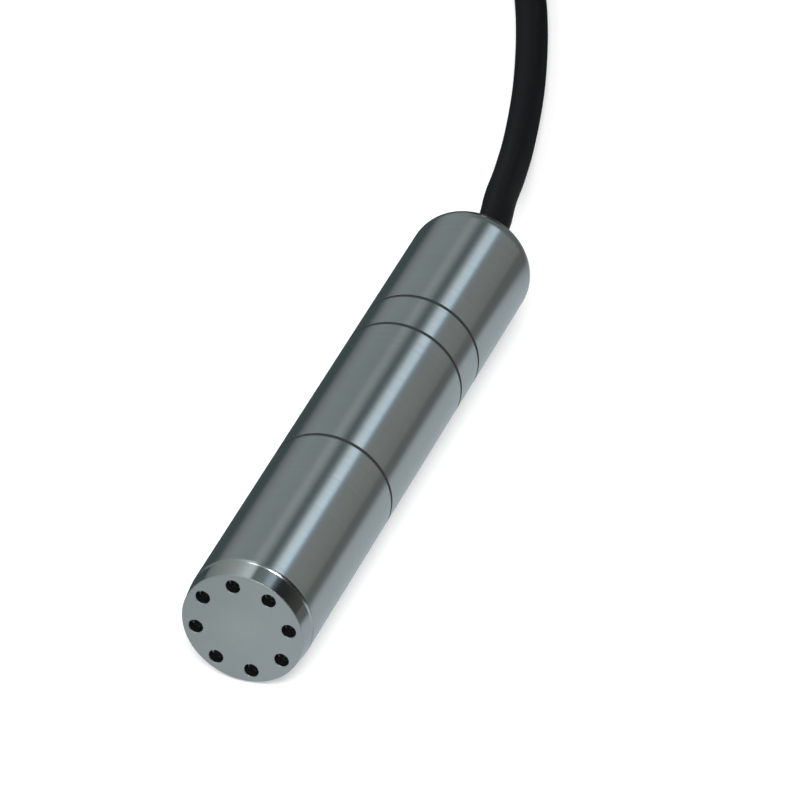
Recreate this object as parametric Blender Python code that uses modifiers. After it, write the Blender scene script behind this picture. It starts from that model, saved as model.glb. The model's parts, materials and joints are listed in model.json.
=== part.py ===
"""A submersible level transmitter: a turned steel probe on its vented cable.

Lengths are in metres. The probe lies along Y on the plane z = 0, nose towards -Y. Along the probe, a station
is the distance from the front of the nose cap, and every turned profile is a list of (radius, station) points
that runs down its outer side, from the cable end to the nose."""

import math

import bmesh
import bpy
from mathutils import Matrix, Vector

# Clearances: between seated neighbours, and between the parts of the small sensor
GAP = 0.0003
FINE_GAP = 0.00015

# Steel housing, one turned and bored bar
PROBE_LENGTH = 0.138
TUBE_RADIUS = 0.013
SHOULDER_RADIUS = 0.008
MOUTH_RADIUS = 0.001
FRONT_CHAMFER = 0.0005
REAR_WALL = 0.010
CAP_BORE = 0.0115
SENSOR_BORE = 0.0098
BOARD_BORE = 0.0085
GLAND_BORE = 0.0072
MARK_STATIONS = (0.0491, 0.0902, 0.1006)
MARK_WIDTH = 0.0006
MARK_DEPTH = 0.0001

# Nose cap with its ring of inlet holes, on a threaded skirt
CAP_RADIUS = 0.01275
CAP_LENGTH = 0.004
CAP_FACE_WALL = 0.002
CAP_EDGE = 0.0003
CAP_POCKET = 0.0114
CAP_POCKET_DEPTH = 0.0009
SKIRT_LENGTH = 0.006
SKIRT_WALL = 0.001
HOLE_COUNT = 8
HOLE_RADIUS = 0.0015
HOLE_CIRCLE = 0.0098
FIRST_HOLE_ANGLE = math.radians(10.6)

# Clamp ring and sensor
CLAMP_STANDOFF = 0.0009
CLAMP_THICKNESS = 0.0028
CLAMP_WINDOW = 0.0078
CLAMP_SLOT_WIDTH = 0.0018
CLAMP_SLOT_DEPTH = 0.0012
WELD_RING_THICKNESS = 0.0009
DIAPHRAGM_THICKNESS = 0.00025
DIAPHRAGM_WAVES = 3
DIAPHRAGM_WAVE_HEIGHT = 0.00018
DIAPHRAGM_LAND = 0.0018
SENSOR_LENGTH = 0.015
O_RING_STATION_IN_SENSOR = 0.006
O_RING_RADIUS = 0.0008
O_RING_GROOVE_WIDTH = 0.0022
PIN_CIRCLE = 0.0035
PIN_COUNT = 4
PIN_RADIUS = 0.0004
PIN_REACH = 0.0045
PIN_SEAT = 0.0028
VENT_TUBE_RADIUS = 0.0009
VENT_TUBE_BORE = 0.00045
VENT_TUBE_REACH = 0.0055
WIRE_RADIUS = 0.00035
WIRE_STRAIGHT = 0.0012
WIRE_LANDING = 0.002
WIRE_ARCH = 0.0006
WIRE_POINT_SPACING = 0.0012

# Circuit board in its moulded carrier, which fills the room between the sensor's pins and the cable's cores
CARRIER_OFFSET = 0.0072
CORE_ROOM = 0.0044
CARRIER_WALL = 0.0016
CARRIER_RIM_HEIGHT = 0.0008
BOARD_MARGIN = 0.002
BOARD_WIDTH = 0.0136
BOARD_THICKNESS = 0.0012
BOARD_HEIGHT = -0.0012
BOARD_CORNER = 0.0006
CHIP_EDGE = 0.00015
LEG_WIDTH = 0.0004
LEG_LENGTH = 0.0009

# name, place along a board of this length, (width, length, height), legs a side, surface
LAYOUT_LENGTH = 0.058
COMPONENTS = (
    ("amplifier_chip", 0.0135, (0.0060, 0.0088, 0.0020), 5, "chip_black"),
    ("voltage_regulator", 0.0245, (0.0036, 0.0062, 0.0017), 2, "chip_black"),
    ("filter_capacitor", 0.0325, (0.0034, 0.0058, 0.0026), 1, "capacitor_amber"),
    ("loop_transistor", 0.0405, (0.0058, 0.0056, 0.0022), 2, "chip_black"),
    ("surge_diode", 0.0480, (0.0038, 0.0042, 0.0021), 1, "chip_black"),
)

# Cable gland, from the rear wall inwards
WASHER_THICKNESS = 0.001
SEAL_LENGTH = 0.0074
SEAL_TAPER = 0.0012
NUT_LENGTH = 0.007
NUT_PROUD = 0.0015
NUT_SLOT_WIDTH = 0.0016
NUT_SLOT_DEPTH = 0.0014
FERRULE_LENGTH = 0.0055
FERRULE_WALL = 0.001
CABLE_INSIDE_FERRULE = 0.002
STRIP_DEPTH = 0.004
CORE_STRAIGHT = 0.0008
CORE_LANDING = 0.002
CORE_POINT_SPACING = 0.0014

# Vented cable and its coil
CABLE_RADIUS = 0.0035
CABLE_EXIT_DEPTH = 0.003
CABLE_POINT_SPACING = 0.0154
CABLE_ROUTE = (
    (0.0, 0.072, 0.013),
    (-0.0006, 0.078, 0.0128),
    (-0.0016, 0.084, 0.0121),
    (-0.0031, 0.090, 0.0109),
    (-0.0046, 0.0965, 0.0093),
    (-0.0063, 0.105, 0.0072),
    (-0.0080, 0.113, 0.0055),
    (-0.0098, 0.1215, 0.0043),
    (-0.0123, 0.1325, 0.0038),
    (-0.0153, 0.1444, 0.0037),
    (-0.0187, 0.1559, 0.0037),
    (-0.0225, 0.1674, 0.0037),
    (-0.0268, 0.1788, 0.0038),
    (-0.0319, 0.1902, 0.0041),
    (-0.0370, 0.2016, 0.0045),
)
COIL_ENTRY = (-0.0528, 0.2371)
COIL_HEADING = math.radians(24)
COIL_OUTER_TURN = 0.0315
COIL_STRAIGHT = 0.1045
COIL_PITCH = 0.0071
COIL_ROWS = 4
COIL_COLUMNS = 3
COIL_CORNER = 0.0025

# Each tie's place as a share of the coil's straight run, and the direction outwards from there
TIE_PLACES = ((0.0, math.radians(270)), (0.5, 0.0), (1.0, math.radians(90)))
TIE_THICKNESS = 0.0012
TIE_WIDTH = 0.0036
TIE_HEAD = (0.0046, 0.0052, 0.0062)
TIE_HEAD_SINK = 0.0006

# Stripped far end of the cable, lying on the coil
TAIL_RUN = 0.054
TAIL_BENDS = 8
TAIL_DRIFT = 0.0012
TAIL_STRAIGHT = 0.010
TAIL_POINT_SPACING = 0.007
SLEEVE_LENGTH = 0.020
SLEEVE_RADIUS = 0.0042
SLEEVE_TAPER_START = 0.010
SLEEVE_TAPER_END = 0.016
SLEEVE_TIP_RADIUS = 0.0031
SLEEVE_GRIP = 0.0075
CORE_BORE = 0.0026
LEAD_STRAIGHT = 0.001
LEAD_LENGTH = 0.026
LEAD_BENDS = 6
LEAD_DROP_START = 0.2
LEAD_SPACING = 0.0026
LEAD_POINT_SPACING = 0.0032

# name, radius, place across and above the cable's axis, in metres
CORES = (
    ("red", 0.0009, -0.00125, 0.00075),
    ("green", 0.0009, 0.00125, 0.00075),
    ("capillary", 0.00075, -0.00085, -0.0012),
    ("drain", 0.00055, 0.00115, -0.0012),
)

# Facets round each kind of turned piece, and samples along each stretch of a smooth route
TUBE_STEPS = 56
COIL_BEND_STEPS = 22
PIECE_STEPS = 28
SMALL_STEPS = 16
HOLE_STEPS = 16
PIN_STEPS = 12
ROUTE_SAMPLES = 12

# Stations that follow from the sizes above
NOSE_Y = -PROBE_LENGTH / 2
TUBE_START = CAP_LENGTH + GAP
SKIRT_END = CAP_LENGTH + SKIRT_LENGTH
CLAMP_START = SKIRT_END + CLAMP_STANDOFF
CLAMP_END = CLAMP_START + CLAMP_THICKNESS
SENSOR_START = CLAMP_END + GAP
SENSOR_END = SENSOR_START + SENSOR_LENGTH
BOARD_BORE_START = SENSOR_END + GAP
GLAND_BORE_END = PROBE_LENGTH - REAR_WALL
SEAL_WASHER_START = GLAND_BORE_END - GAP - WASHER_THICKNESS
SEAL_START = SEAL_WASHER_START - GAP - SEAL_LENGTH
THRUST_WASHER_START = SEAL_START - GAP - WASHER_THICKNESS
NUT_START = THRUST_WASHER_START - GAP - NUT_LENGTH
GLAND_BORE_START = NUT_START + NUT_PROUD
FERRULE_START = NUT_START - GAP - FERRULE_LENGTH
CABLE_START = FERRULE_START - CABLE_INSIDE_FERRULE
CARRIER_START = SENSOR_END + CARRIER_OFFSET
CARRIER_END = CABLE_START - CORE_ROOM
CARRIER_LENGTH = CARRIER_END - CARRIER_START
BOARD_START = CARRIER_START + BOARD_MARGIN
BOARD_END = CARRIER_END - BOARD_MARGIN
BOARD_LENGTH = BOARD_END - BOARD_START
BOARD_TOP = BOARD_HEIGHT + BOARD_THICKNESS / 2
CABLE_EXIT_STATION = PROBE_LENGTH - CABLE_EXIT_DEPTH
CABLE_HOLE = CABLE_RADIUS + GAP

# Coil places that follow
COIL_FLOOR = TIE_THICKNESS + GAP
COIL_HALF_SECTION = COIL_PITCH / 2
COIL_LOW_ROW = COIL_FLOOR + COIL_HALF_SECTION
COIL_SHELF = COIL_FLOOR + COIL_ROWS * COIL_PITCH
COIL_TOP = COIL_SHELF + COIL_PITCH
COIL_OUTSIDE = COIL_OUTER_TURN + COIL_HALF_SECTION
COIL_INSIDE = COIL_OUTSIDE - COIL_COLUMNS * COIL_PITCH
COIL_STEP = COIL_OUTSIDE - COIL_PITCH
ENTRY_ANGLE = math.pi + COIL_HEADING
COIL_CENTRE = (
    COIL_ENTRY[0] + COIL_OUTER_TURN * math.cos(COIL_HEADING),
    COIL_ENTRY[1] + COIL_OUTER_TURN * math.sin(COIL_HEADING),
)

parts = bpy.data.collections.new("submersible_level_transmitter")
cutters = bpy.data.collections.new("cutters")
materials = {}


def clear_scene():
    for obj in list(bpy.data.objects):
        bpy.data.objects.remove(obj, do_unlink=True)
    bpy.context.scene.collection.children.link(parts)
    bpy.context.scene.collection.children.link(cutters)


def material(name, colour, roughness, metallic=0.0):
    made = bpy.data.materials.new(name)
    made.use_nodes = True
    shader = made.node_tree.nodes["Principled BSDF"]
    shader.inputs["Base Color"].default_value = (*colour, 1.0)
    shader.inputs["Roughness"].default_value = roughness
    shader.inputs["Metallic"].default_value = metallic
    materials[name] = made


def make_materials():
    material("satin_steel", (0.36, 0.38, 0.38), 0.32, 1.0)
    material("face_steel", (0.33, 0.36, 0.37), 0.45, 1.0)
    material("bright_steel", (0.55, 0.56, 0.57), 0.22, 1.0)
    material("gold_plate", (0.75, 0.55, 0.24), 0.3, 1.0)
    material("brass", (0.66, 0.52, 0.26), 0.35, 1.0)
    material("black_rubber", (0.02, 0.02, 0.022), 0.7)
    material("black_jacket", (0.012, 0.013, 0.015), 0.5)
    material("board_green", (0.02, 0.16, 0.07), 0.45)
    material("carrier_plastic", (0.62, 0.6, 0.54), 0.5)
    material("chip_black", (0.02, 0.02, 0.02), 0.5)
    material("capacitor_amber", (0.6, 0.36, 0.06), 0.4)
    material("red_insulation", (0.45, 0.02, 0.015), 0.45)
    material("green_insulation", (0.02, 0.25, 0.06), 0.45)
    material("blue_insulation", (0.02, 0.09, 0.4), 0.45)
    material("clear_nylon", (0.7, 0.71, 0.68), 0.4)
    material("white_nylon", (0.75, 0.75, 0.72), 0.45)
    material("tinned_copper", (0.6, 0.58, 0.55), 0.35, 1.0)


def add_object(name, data, surface, collection=parts):
    obj = bpy.data.objects.new(name, data)
    collection.objects.link(obj)
    if surface:
        data.materials.append(materials[surface])
    return obj


def add_probe_axis():
    """An empty on the probe's axis at the nose: its local Z is the station, local X stays across."""
    empty = bpy.data.objects.new("probe_axis", None)
    parts.objects.link(empty)
    empty.location = (0, NOSE_Y, TUBE_RADIUS)
    empty.rotation_euler = (-math.pi / 2, 0, 0)
    return empty


def on_axis(station, across=0.0, above=0.0):
    """The world place of a point given along, across and above the probe's axis."""
    return Vector((across, NOSE_Y + station, TUBE_RADIUS + above))


def arc(centre, radius, start_degrees, end_degrees, count):
    """Points of an arc in a profile's plane, both ends included."""
    points = []
    for i in range(count + 1):
        angle = math.radians(start_degrees + (end_degrees - start_degrees) * i / count)
        points.append((centre[0] + radius * math.cos(angle), centre[1] + radius * math.sin(angle)))
    return points


def shade(obj, degrees=32):
    """Bakes the modifiers, then shades round and keeps the edges sharper than this angle."""
    bpy.context.view_layer.update()
    evaluated = obj.evaluated_get(bpy.context.evaluated_depsgraph_get())
    mesh = bpy.data.meshes.new_from_object(evaluated)
    obj.modifiers.clear()
    obj.data = mesh
    mesh.shade_smooth()
    mesh.set_sharp_from_angle(angle=math.radians(degrees))
    return obj


def turned(name, profile, surface, parent=None, steps=PIECE_STEPS, closed=True, collection=parts):
    """A turned piece: the profile swept about the parent's Z. An open profile starts and ends on the axis."""
    mesh = bpy.data.meshes.new(name)
    edges = [(i, i + 1) for i in range(len(profile) - 1)]
    if closed:
        edges.append((len(profile) - 1, 0))
    mesh.from_pydata([(radius, 0, station) for radius, station in profile], edges, [])
    obj = add_object(name, mesh, surface, collection)
    obj.parent = parent
    screw = obj.modifiers.new("turn", "SCREW")
    screw.axis = "Z"
    screw.angle = 2 * math.pi
    screw.steps = steps
    screw.render_steps = steps
    screw.use_merge_vertices = True
    screw.merge_threshold = 1e-6
    return obj


def hide_cutter(obj):
    obj.hide_render = True
    obj.display_type = "WIRE"
    return obj


def cut(obj, cutter):
    boolean = obj.modifiers.new(cutter.name, "BOOLEAN")
    boolean.operation = "DIFFERENCE"
    boolean.object = cutter
    boolean.solver = "EXACT"


def unite(obj, other):
    boolean = obj.modifiers.new(other.name, "BOOLEAN")
    boolean.operation = "UNION"
    boolean.object = other
    boolean.solver = "EXACT"


def drill(name, radius, start, end, places, parent, steps=HOLE_STEPS):
    """A cutter of parallel round holes from one station to another, at (across, above) places."""
    mesh = bpy.data.meshes.new(name)
    shape = bmesh.new()
    for across, above in places:
        middle = Matrix.Translation((across, -above, (start + end) / 2))
        bmesh.ops.create_cone(
            shape, cap_ends=True, segments=steps, radius1=radius, radius2=radius, depth=end - start, matrix=middle
        )
    shape.to_mesh(mesh)
    shape.free()
    obj = hide_cutter(add_object(name, mesh, None, cutters))
    obj.parent = parent
    return obj


def block(name, size, place, surface, collection=parts, edge=0.0):
    """A box of this size, centred at place, with its edges rounded."""
    mesh = bpy.data.meshes.new(name)
    shape = bmesh.new()
    bmesh.ops.create_cube(shape, size=1.0)
    bmesh.ops.scale(shape, vec=size, verts=shape.verts)
    shape.to_mesh(mesh)
    shape.free()
    obj = add_object(name, mesh, surface, collection)
    obj.location = place
    if edge:
        bevel = obj.modifiers.new("edges", "BEVEL")
        bevel.width = edge
        bevel.segments = 1
    return obj


def box_cutter(name, size, place):
    return hide_cutter(block(name, size, place, None, cutters))


def smooth_route(points, spacing):
    """Points a spacing apart on a smooth curve through the given points (a Catmull-Rom spline)."""
    given = [Vector(point) for point in points]
    given = [2 * given[0] - given[1], *given, 2 * given[-1] - given[-2]]
    fine = []
    for a, b, c, d in zip(given, given[1:], given[2:], given[3:]):
        for i in range(ROUTE_SAMPLES):
            t = i / ROUTE_SAMPLES
            fine.append(
                0.5 * (2 * b + (c - a) * t + (2 * a - 5 * b + 4 * c - d) * t**2 + (3 * b - a - 3 * c + d) * t**3)
            )
    fine.append(given[-2])
    lengths = [0.0]
    for a, b in zip(fine, fine[1:]):
        lengths.append(lengths[-1] + (b - a).length)
    count = max(2, round(lengths[-1] / spacing))
    route = []
    i = 0
    for k in range(count + 1):
        wanted = lengths[-1] * k / count
        while i < len(fine) - 2 and lengths[i + 1] < wanted:
            i += 1
        share = (wanted - lengths[i]) / (lengths[i + 1] - lengths[i])
        route.append(fine[i].lerp(fine[i + 1], share))
    return route


def tube(name, route, radius, surface, bevel_resolution=2):
    """A round wire or cable: a POLY curve with a bevel and filled caps."""
    curve = bpy.data.curves.new(name, "CURVE")
    curve.dimensions = "3D"
    curve.bevel_depth = radius
    curve.bevel_resolution = bevel_resolution
    curve.use_fill_caps = True
    spline = curve.splines.new("POLY")
    spline.points.add(len(route) - 1)
    for point, place in zip(spline.points, route):
        point.co = (*place, 1.0)
    return add_object(name, curve, surface)


def housing_profile():
    shoulder = min(SHOULDER_RADIUS, TUBE_RADIUS - CABLE_HOLE - MOUTH_RADIUS)
    mouth_centre = (CABLE_HOLE + MOUTH_RADIUS, PROBE_LENGTH - MOUTH_RADIUS)
    shoulder_centre = (TUBE_RADIUS - shoulder, PROBE_LENGTH - shoulder)
    profile = arc(mouth_centre, MOUTH_RADIUS, 180, 90, 3)
    profile += arc(shoulder_centre, shoulder, 90, 0, 7)
    for station in sorted(MARK_STATIONS, reverse=True):
        low, high = station - MARK_WIDTH / 2, station + MARK_WIDTH / 2
        floor = TUBE_RADIUS - MARK_DEPTH
        profile += [(TUBE_RADIUS, high), (floor, high), (floor, low), (TUBE_RADIUS, low)]
    profile += [
        (TUBE_RADIUS, TUBE_START + FRONT_CHAMFER),
        (TUBE_RADIUS - FRONT_CHAMFER, TUBE_START),
        (CAP_BORE, TUBE_START),
        (CAP_BORE, SENSOR_START),
        (SENSOR_BORE, SENSOR_START),
        (SENSOR_BORE, BOARD_BORE_START),
        (BOARD_BORE, BOARD_BORE_START),
        (BOARD_BORE, GLAND_BORE_START),
        (GLAND_BORE, GLAND_BORE_START),
        (GLAND_BORE, GLAND_BORE_END),
        (CABLE_HOLE, GLAND_BORE_END),
    ]
    return profile


def make_housing(axis):
    shade(turned("housing_tube", housing_profile(), "satin_steel", axis, TUBE_STEPS))


def ring_of_places(count, radius, first_angle):
    """(across, above) places evenly round the axis."""
    angles = [first_angle + 2 * math.pi * i / count for i in range(count)]
    return [(radius * math.cos(angle), radius * math.sin(angle)) for angle in angles]


def make_nose_cap(axis):
    skirt_radius = CAP_BORE - GAP
    skirt_bore = skirt_radius - SKIRT_WALL
    pocket_end = CAP_FACE_WALL + CAP_POCKET_DEPTH
    profile = [
        (skirt_bore, SKIRT_END),
        (skirt_radius, SKIRT_END),
        (skirt_radius, CAP_LENGTH),
        (CAP_RADIUS, CAP_LENGTH),
        (CAP_RADIUS, CAP_EDGE),
        (CAP_RADIUS - CAP_EDGE, 0),
        (0, 0),
        (0, CAP_FACE_WALL),
        (CAP_POCKET, CAP_FACE_WALL),
        (CAP_POCKET, pocket_end),
        (skirt_bore, pocket_end + CAP_POCKET - skirt_bore),
    ]
    cap = turned("nose_cap", profile, "face_steel", axis, TUBE_STEPS)
    places = ring_of_places(HOLE_COUNT, HOLE_CIRCLE, FIRST_HOLE_ANGLE)
    cut(cap, drill("inlet_holes", HOLE_RADIUS, -CAP_FACE_WALL, CAP_FACE_WALL + HOLE_RADIUS, places, axis))
    shade(cap)


def make_clamp_ring(axis):
    outside = CAP_BORE - GAP
    profile = [
        (CLAMP_WINDOW, CLAMP_END),
        (outside, CLAMP_END),
        (outside, CLAMP_START),
        (CLAMP_WINDOW, CLAMP_START),
    ]
    ring = turned("clamp_ring", profile, "bright_steel", axis)
    middle = on_axis(CLAMP_START)
    cut(ring, box_cutter("clamp_slot", (4 * outside, 2 * CLAMP_SLOT_DEPTH, CLAMP_SLOT_WIDTH), middle))
    cut(ring, box_cutter("clamp_cross_slot", (CLAMP_SLOT_WIDTH, 2 * CLAMP_SLOT_DEPTH, 4 * outside), middle))
    shade(ring)


def diaphragm_profile(start, radius):
    """A thin disc pressed into round waves between a flat middle and a flat rim."""
    rim = radius - DIAPHRAGM_LAND
    samples = DIAPHRAGM_WAVES * 4
    front = [(0, start)]
    for i in range(samples + 1):
        across = DIAPHRAGM_LAND + (rim - DIAPHRAGM_LAND) * i / samples
        wave = DIAPHRAGM_WAVE_HEIGHT * math.sin(2 * math.pi * DIAPHRAGM_WAVES * i / samples)
        front.append((across, start + wave))
    front.append((radius, start))
    back = [(across, station + DIAPHRAGM_THICKNESS) for across, station in front]
    return back + front[::-1]


def make_sensor(axis):
    """The sealed sensor: weld ring, diaphragm, steel header with its O-ring, pins and vent tube."""
    outside = SENSOR_BORE - GAP
    weld_end = SENSOR_START + WELD_RING_THICKNESS
    profile = [
        (CLAMP_WINDOW, weld_end),
        (outside, weld_end),
        (outside, SENSOR_START),
        (CLAMP_WINDOW, SENSOR_START),
    ]
    shade(turned("sensor_weld_ring", profile, "bright_steel", axis))

    diaphragm_start = weld_end + GAP
    diaphragm = diaphragm_profile(diaphragm_start, outside)
    shade(turned("sensor_diaphragm", diaphragm, "bright_steel", axis, closed=False), 60)

    header_start = diaphragm_start + DIAPHRAGM_THICKNESS + GAP
    recess = header_start + DIAPHRAGM_WAVE_HEIGHT + GAP
    groove_middle = SENSOR_START + O_RING_STATION_IN_SENSOR
    groove_floor = SENSOR_BORE - 2 * O_RING_RADIUS - 2 * FINE_GAP
    groove_start = groove_middle - O_RING_GROOVE_WIDTH / 2
    groove_end = groove_middle + O_RING_GROOVE_WIDTH / 2
    profile = [
        (0, SENSOR_END),
        (outside, SENSOR_END),
        (outside, groove_end),
        (groove_floor, groove_end),
        (groove_floor, groove_start),
        (outside, groove_start),
        (outside, header_start),
        (CLAMP_WINDOW, header_start),
        (CLAMP_WINDOW - (recess - header_start), recess),
        (0, recess),
    ]
    header = turned("sensor_header", profile, "bright_steel", axis, closed=False)
    pin_places = ring_of_places(PIN_COUNT, PIN_CIRCLE, math.pi / PIN_COUNT)
    seat = SENSOR_END - PIN_SEAT
    beyond = SENSOR_END + PIN_SEAT
    cut(header, drill("pin_seats", PIN_RADIUS + GAP, seat, beyond, pin_places, axis, SMALL_STEPS))
    cut(header, drill("vent_seat", VENT_TUBE_RADIUS + GAP, seat, beyond, [(0, 0)], axis, SMALL_STEPS))
    shade(header)

    ring_centre = (SENSOR_BORE - FINE_GAP - O_RING_RADIUS, groove_middle)
    section = arc(ring_centre, O_RING_RADIUS, 90, -270, 8)[:-1]
    shade(turned("sensor_o_ring", section, "black_rubber", axis), 80)

    for number, (across, above) in enumerate(pin_places, start=1):
        name = f"sensor_pin_{number}"
        pin_start = seat + GAP
        pin_end = SENSOR_END + PIN_REACH
        profile = [(0, pin_end), (PIN_RADIUS, pin_end), (PIN_RADIUS, pin_start), (0, pin_start)]
        pin = turned(name, profile, "gold_plate", axis, steps=PIN_STEPS, closed=False)
        pin.location = (across, -above, 0)
        shade(pin)

    tube_start = seat + GAP
    tube_end = SENSOR_END + VENT_TUBE_REACH
    profile = [
        (VENT_TUBE_BORE, tube_end),
        (VENT_TUBE_RADIUS, tube_end),
        (VENT_TUBE_RADIUS, tube_start),
        (VENT_TUBE_BORE, tube_start),
    ]
    shade(turned("sensor_vent_tube", profile, "bright_steel", axis, steps=SMALL_STEPS))
    return pin_places


def make_sensor_wires(pin_places):
    """A wire from each pin to its pad on the front edge of the board."""
    pads = [BOARD_WIDTH * (number - (PIN_COUNT - 1) / 2) / (PIN_COUNT + 1) for number in range(PIN_COUNT)]
    by_side = sorted(range(PIN_COUNT), key=lambda number: (round(pin_places[number][0], 6), pin_places[number][1]))
    pin_end = SENSOR_END + PIN_REACH + GAP
    landing = BOARD_TOP + WIRE_RADIUS + GAP
    for pad, number in zip(pads, by_side):
        across, above = pin_places[number]
        halfway = (pin_end + WIRE_STRAIGHT + BOARD_START + WIRE_STRAIGHT) / 2
        route = [
            on_axis(pin_end, across, above),
            on_axis(pin_end + WIRE_STRAIGHT, across, above),
            on_axis(halfway, (across + pad) / 2, (above + landing) / 2 + WIRE_ARCH),
            on_axis(BOARD_START + WIRE_STRAIGHT, pad, landing + WIRE_ARCH / 3),
            on_axis(BOARD_START + WIRE_STRAIGHT + WIRE_LANDING, pad, landing),
        ]
        path = smooth_route(route, WIRE_POINT_SPACING)
        tube(f"sensor_wire_{number + 1}", path, WIRE_RADIUS, "blue_insulation")


def make_carrier(axis):
    """A trough that the board slides into, on a groove along each side."""
    outside = BOARD_BORE - GAP
    inside = outside - CARRIER_WALL
    profile = [
        (inside, CARRIER_END),
        (outside, CARRIER_END),
        (outside, CARRIER_START),
        (inside, CARRIER_START),
    ]
    carrier = turned("board_carrier", profile, "carrier_plastic", axis)
    middle = (CARRIER_START + CARRIER_END) / 2
    upper = on_axis(middle, 0, CARRIER_RIM_HEIGHT + BOARD_BORE)
    cut(carrier, box_cutter("carrier_opening", (4 * outside, 2 * CARRIER_LENGTH, 2 * BOARD_BORE), upper))
    groove = (BOARD_WIDTH + 2 * GAP, BOARD_LENGTH + 2 * GAP, BOARD_THICKNESS + 2 * GAP)
    cut(carrier, box_cutter("board_groove", groove, on_axis(middle, 0, BOARD_HEIGHT)))
    shade(carrier)


def make_board():
    board = block(
        "circuit_board",
        (BOARD_WIDTH, BOARD_LENGTH, BOARD_THICKNESS),
        on_axis((BOARD_START + BOARD_END) / 2, 0, BOARD_HEIGHT),
        "board_green",
    )
    bevel = board.modifiers.new("corners", "BEVEL")
    bevel.width = BOARD_CORNER
    bevel.segments = 2
    bevel.affect = "VERTICES"


def make_chip(name, along_board, size, legs, surface):
    """A component on the board's top, with this many legs down each long side."""
    width, length, height = size
    seat = BOARD_TOP + GAP
    place = on_axis(BOARD_START + along_board * BOARD_LENGTH / LAYOUT_LENGTH, 0, seat + height / 2)
    body = block(name, size, place, surface, edge=CHIP_EDGE)
    for side in (-1, 1):
        for i in range(legs):
            offset = (i - (legs - 1) / 2) * length / (legs + 0.5)
            leg = block(
                f"{name}_leg",
                (LEG_LENGTH + CHIP_EDGE, LEG_WIDTH, height / 2),
                place + Vector((side * (width + LEG_LENGTH - CHIP_EDGE) / 2, offset, -height / 4)),
                None,
                cutters,
            )
            unite(body, hide_cutter(leg))
    shade(body)


def make_gland(axis):
    """The cable seal, squeezed between two washers by a hollow nut, and the ferrule on the cable."""
    outside = GLAND_BORE - GAP
    for name, start in (("seal_washer", SEAL_WASHER_START), ("thrust_washer", THRUST_WASHER_START)):
        end = start + WASHER_THICKNESS
        profile = [(CABLE_HOLE, end), (outside, end), (outside, start), (CABLE_HOLE, start)]
        shade(turned(name, profile, "brass", axis, PIECE_STEPS))

    seal_end = SEAL_START + SEAL_LENGTH
    profile = [
        (CABLE_HOLE, seal_end),
        (outside - SEAL_TAPER, seal_end),
        (outside, seal_end - 2 * SEAL_TAPER),
        (outside, SEAL_START + 2 * SEAL_TAPER),
        (outside - SEAL_TAPER, SEAL_START),
        (CABLE_HOLE, SEAL_START),
    ]
    shade(turned("cable_seal", profile, "black_rubber", axis, PIECE_STEPS))

    nut_end = NUT_START + NUT_LENGTH
    profile = [(CABLE_HOLE, nut_end), (outside, nut_end), (outside, NUT_START), (CABLE_HOLE, NUT_START)]
    nut = turned("gland_nut", profile, "brass", axis, PIECE_STEPS)
    slot = (4 * outside, 2 * NUT_SLOT_DEPTH, NUT_SLOT_WIDTH)
    cut(nut, box_cutter("nut_slot", slot, on_axis(NUT_START)))
    shade(nut)

    ferrule_end = FERRULE_START + FERRULE_LENGTH
    ferrule_outside = CABLE_HOLE + FERRULE_WALL
    profile = [
        (CABLE_HOLE, ferrule_end),
        (ferrule_outside, ferrule_end),
        (ferrule_outside, FERRULE_START),
        (CABLE_HOLE, FERRULE_START),
    ]
    shade(turned("cable_ferrule", profile, "brass", axis, PIECE_STEPS))


def make_cable_end(axis):
    """The cable inside the gland, stripped back round its cores."""
    end = CABLE_EXIT_STATION - GAP
    strip_end = CABLE_START + STRIP_DEPTH
    profile = [
        (0, end),
        (CABLE_RADIUS, end),
        (CABLE_RADIUS, CABLE_START),
        (CORE_BORE, CABLE_START),
        (CORE_BORE, strip_end),
        (0, strip_end),
    ]
    shade(turned("cable_end", profile, "black_jacket", axis, SMALL_STEPS, closed=False))


CORE_SURFACES = {
    "red": "red_insulation",
    "green": "green_insulation",
    "capillary": "clear_nylon",
    "drain": "tinned_copper",
}


def make_board_leads():
    """The cable's cores from the stripped end to the rear edge of the board."""
    stripped = CABLE_START + STRIP_DEPTH - GAP
    spacing = BOARD_WIDTH / (len(CORES) + 1)
    ranked = sorted(CORES, key=lambda core: core[2])
    for i, (name, radius, across, above) in enumerate(ranked):
        pad = (i - (len(CORES) - 1) / 2) * spacing
        landing = BOARD_TOP + radius + GAP
        route = [
            on_axis(stripped, across, above),
            on_axis(CABLE_START - CORE_STRAIGHT, across, above),
            on_axis((CABLE_START + BOARD_END) / 2, (across + pad) / 2, (above + landing) / 2),
            on_axis(BOARD_END - CORE_STRAIGHT, pad, landing),
            on_axis(BOARD_END - CORE_STRAIGHT - CORE_LANDING, pad, landing),
        ]
        tube(f"board_{name}", smooth_route(route, CORE_POINT_SPACING), radius, CORE_SURFACES[name])


def make_cable():
    """The free cable from the housing's mouth, along the surface, to just short of its coil."""
    start = on_axis(CABLE_EXIT_STATION)
    low = Vector((*COIL_ENTRY, COIL_LOW_ROW))
    back = Vector((math.sin(COIL_HEADING), -math.cos(COIL_HEADING), 0))
    inner_side = COIL_OUTER_TURN - CABLE_RADIUS
    run_up = math.sqrt((COIL_OUTSIDE + GAP) ** 2 - inner_side**2)
    end = low + back * run_up
    route = smooth_route([start, *CABLE_ROUTE, end], CABLE_POINT_SPACING)
    tube("cable", route, CABLE_RADIUS, "black_jacket", 3)


def in_coil(radius, travelled, height):
    """A point on a turn of this radius, this far past the entry, on the near bend or the straight after it."""
    bend = COIL_HEADING * radius
    if travelled < bend:
        angle = ENTRY_ANGLE - travelled / radius
        across, along = radius * math.cos(angle), radius * math.sin(angle)
    else:
        across, along = -radius, travelled - bend
    return Vector((COIL_CENTRE[0] + across, COIL_CENTRE[1] + along, height))


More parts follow.
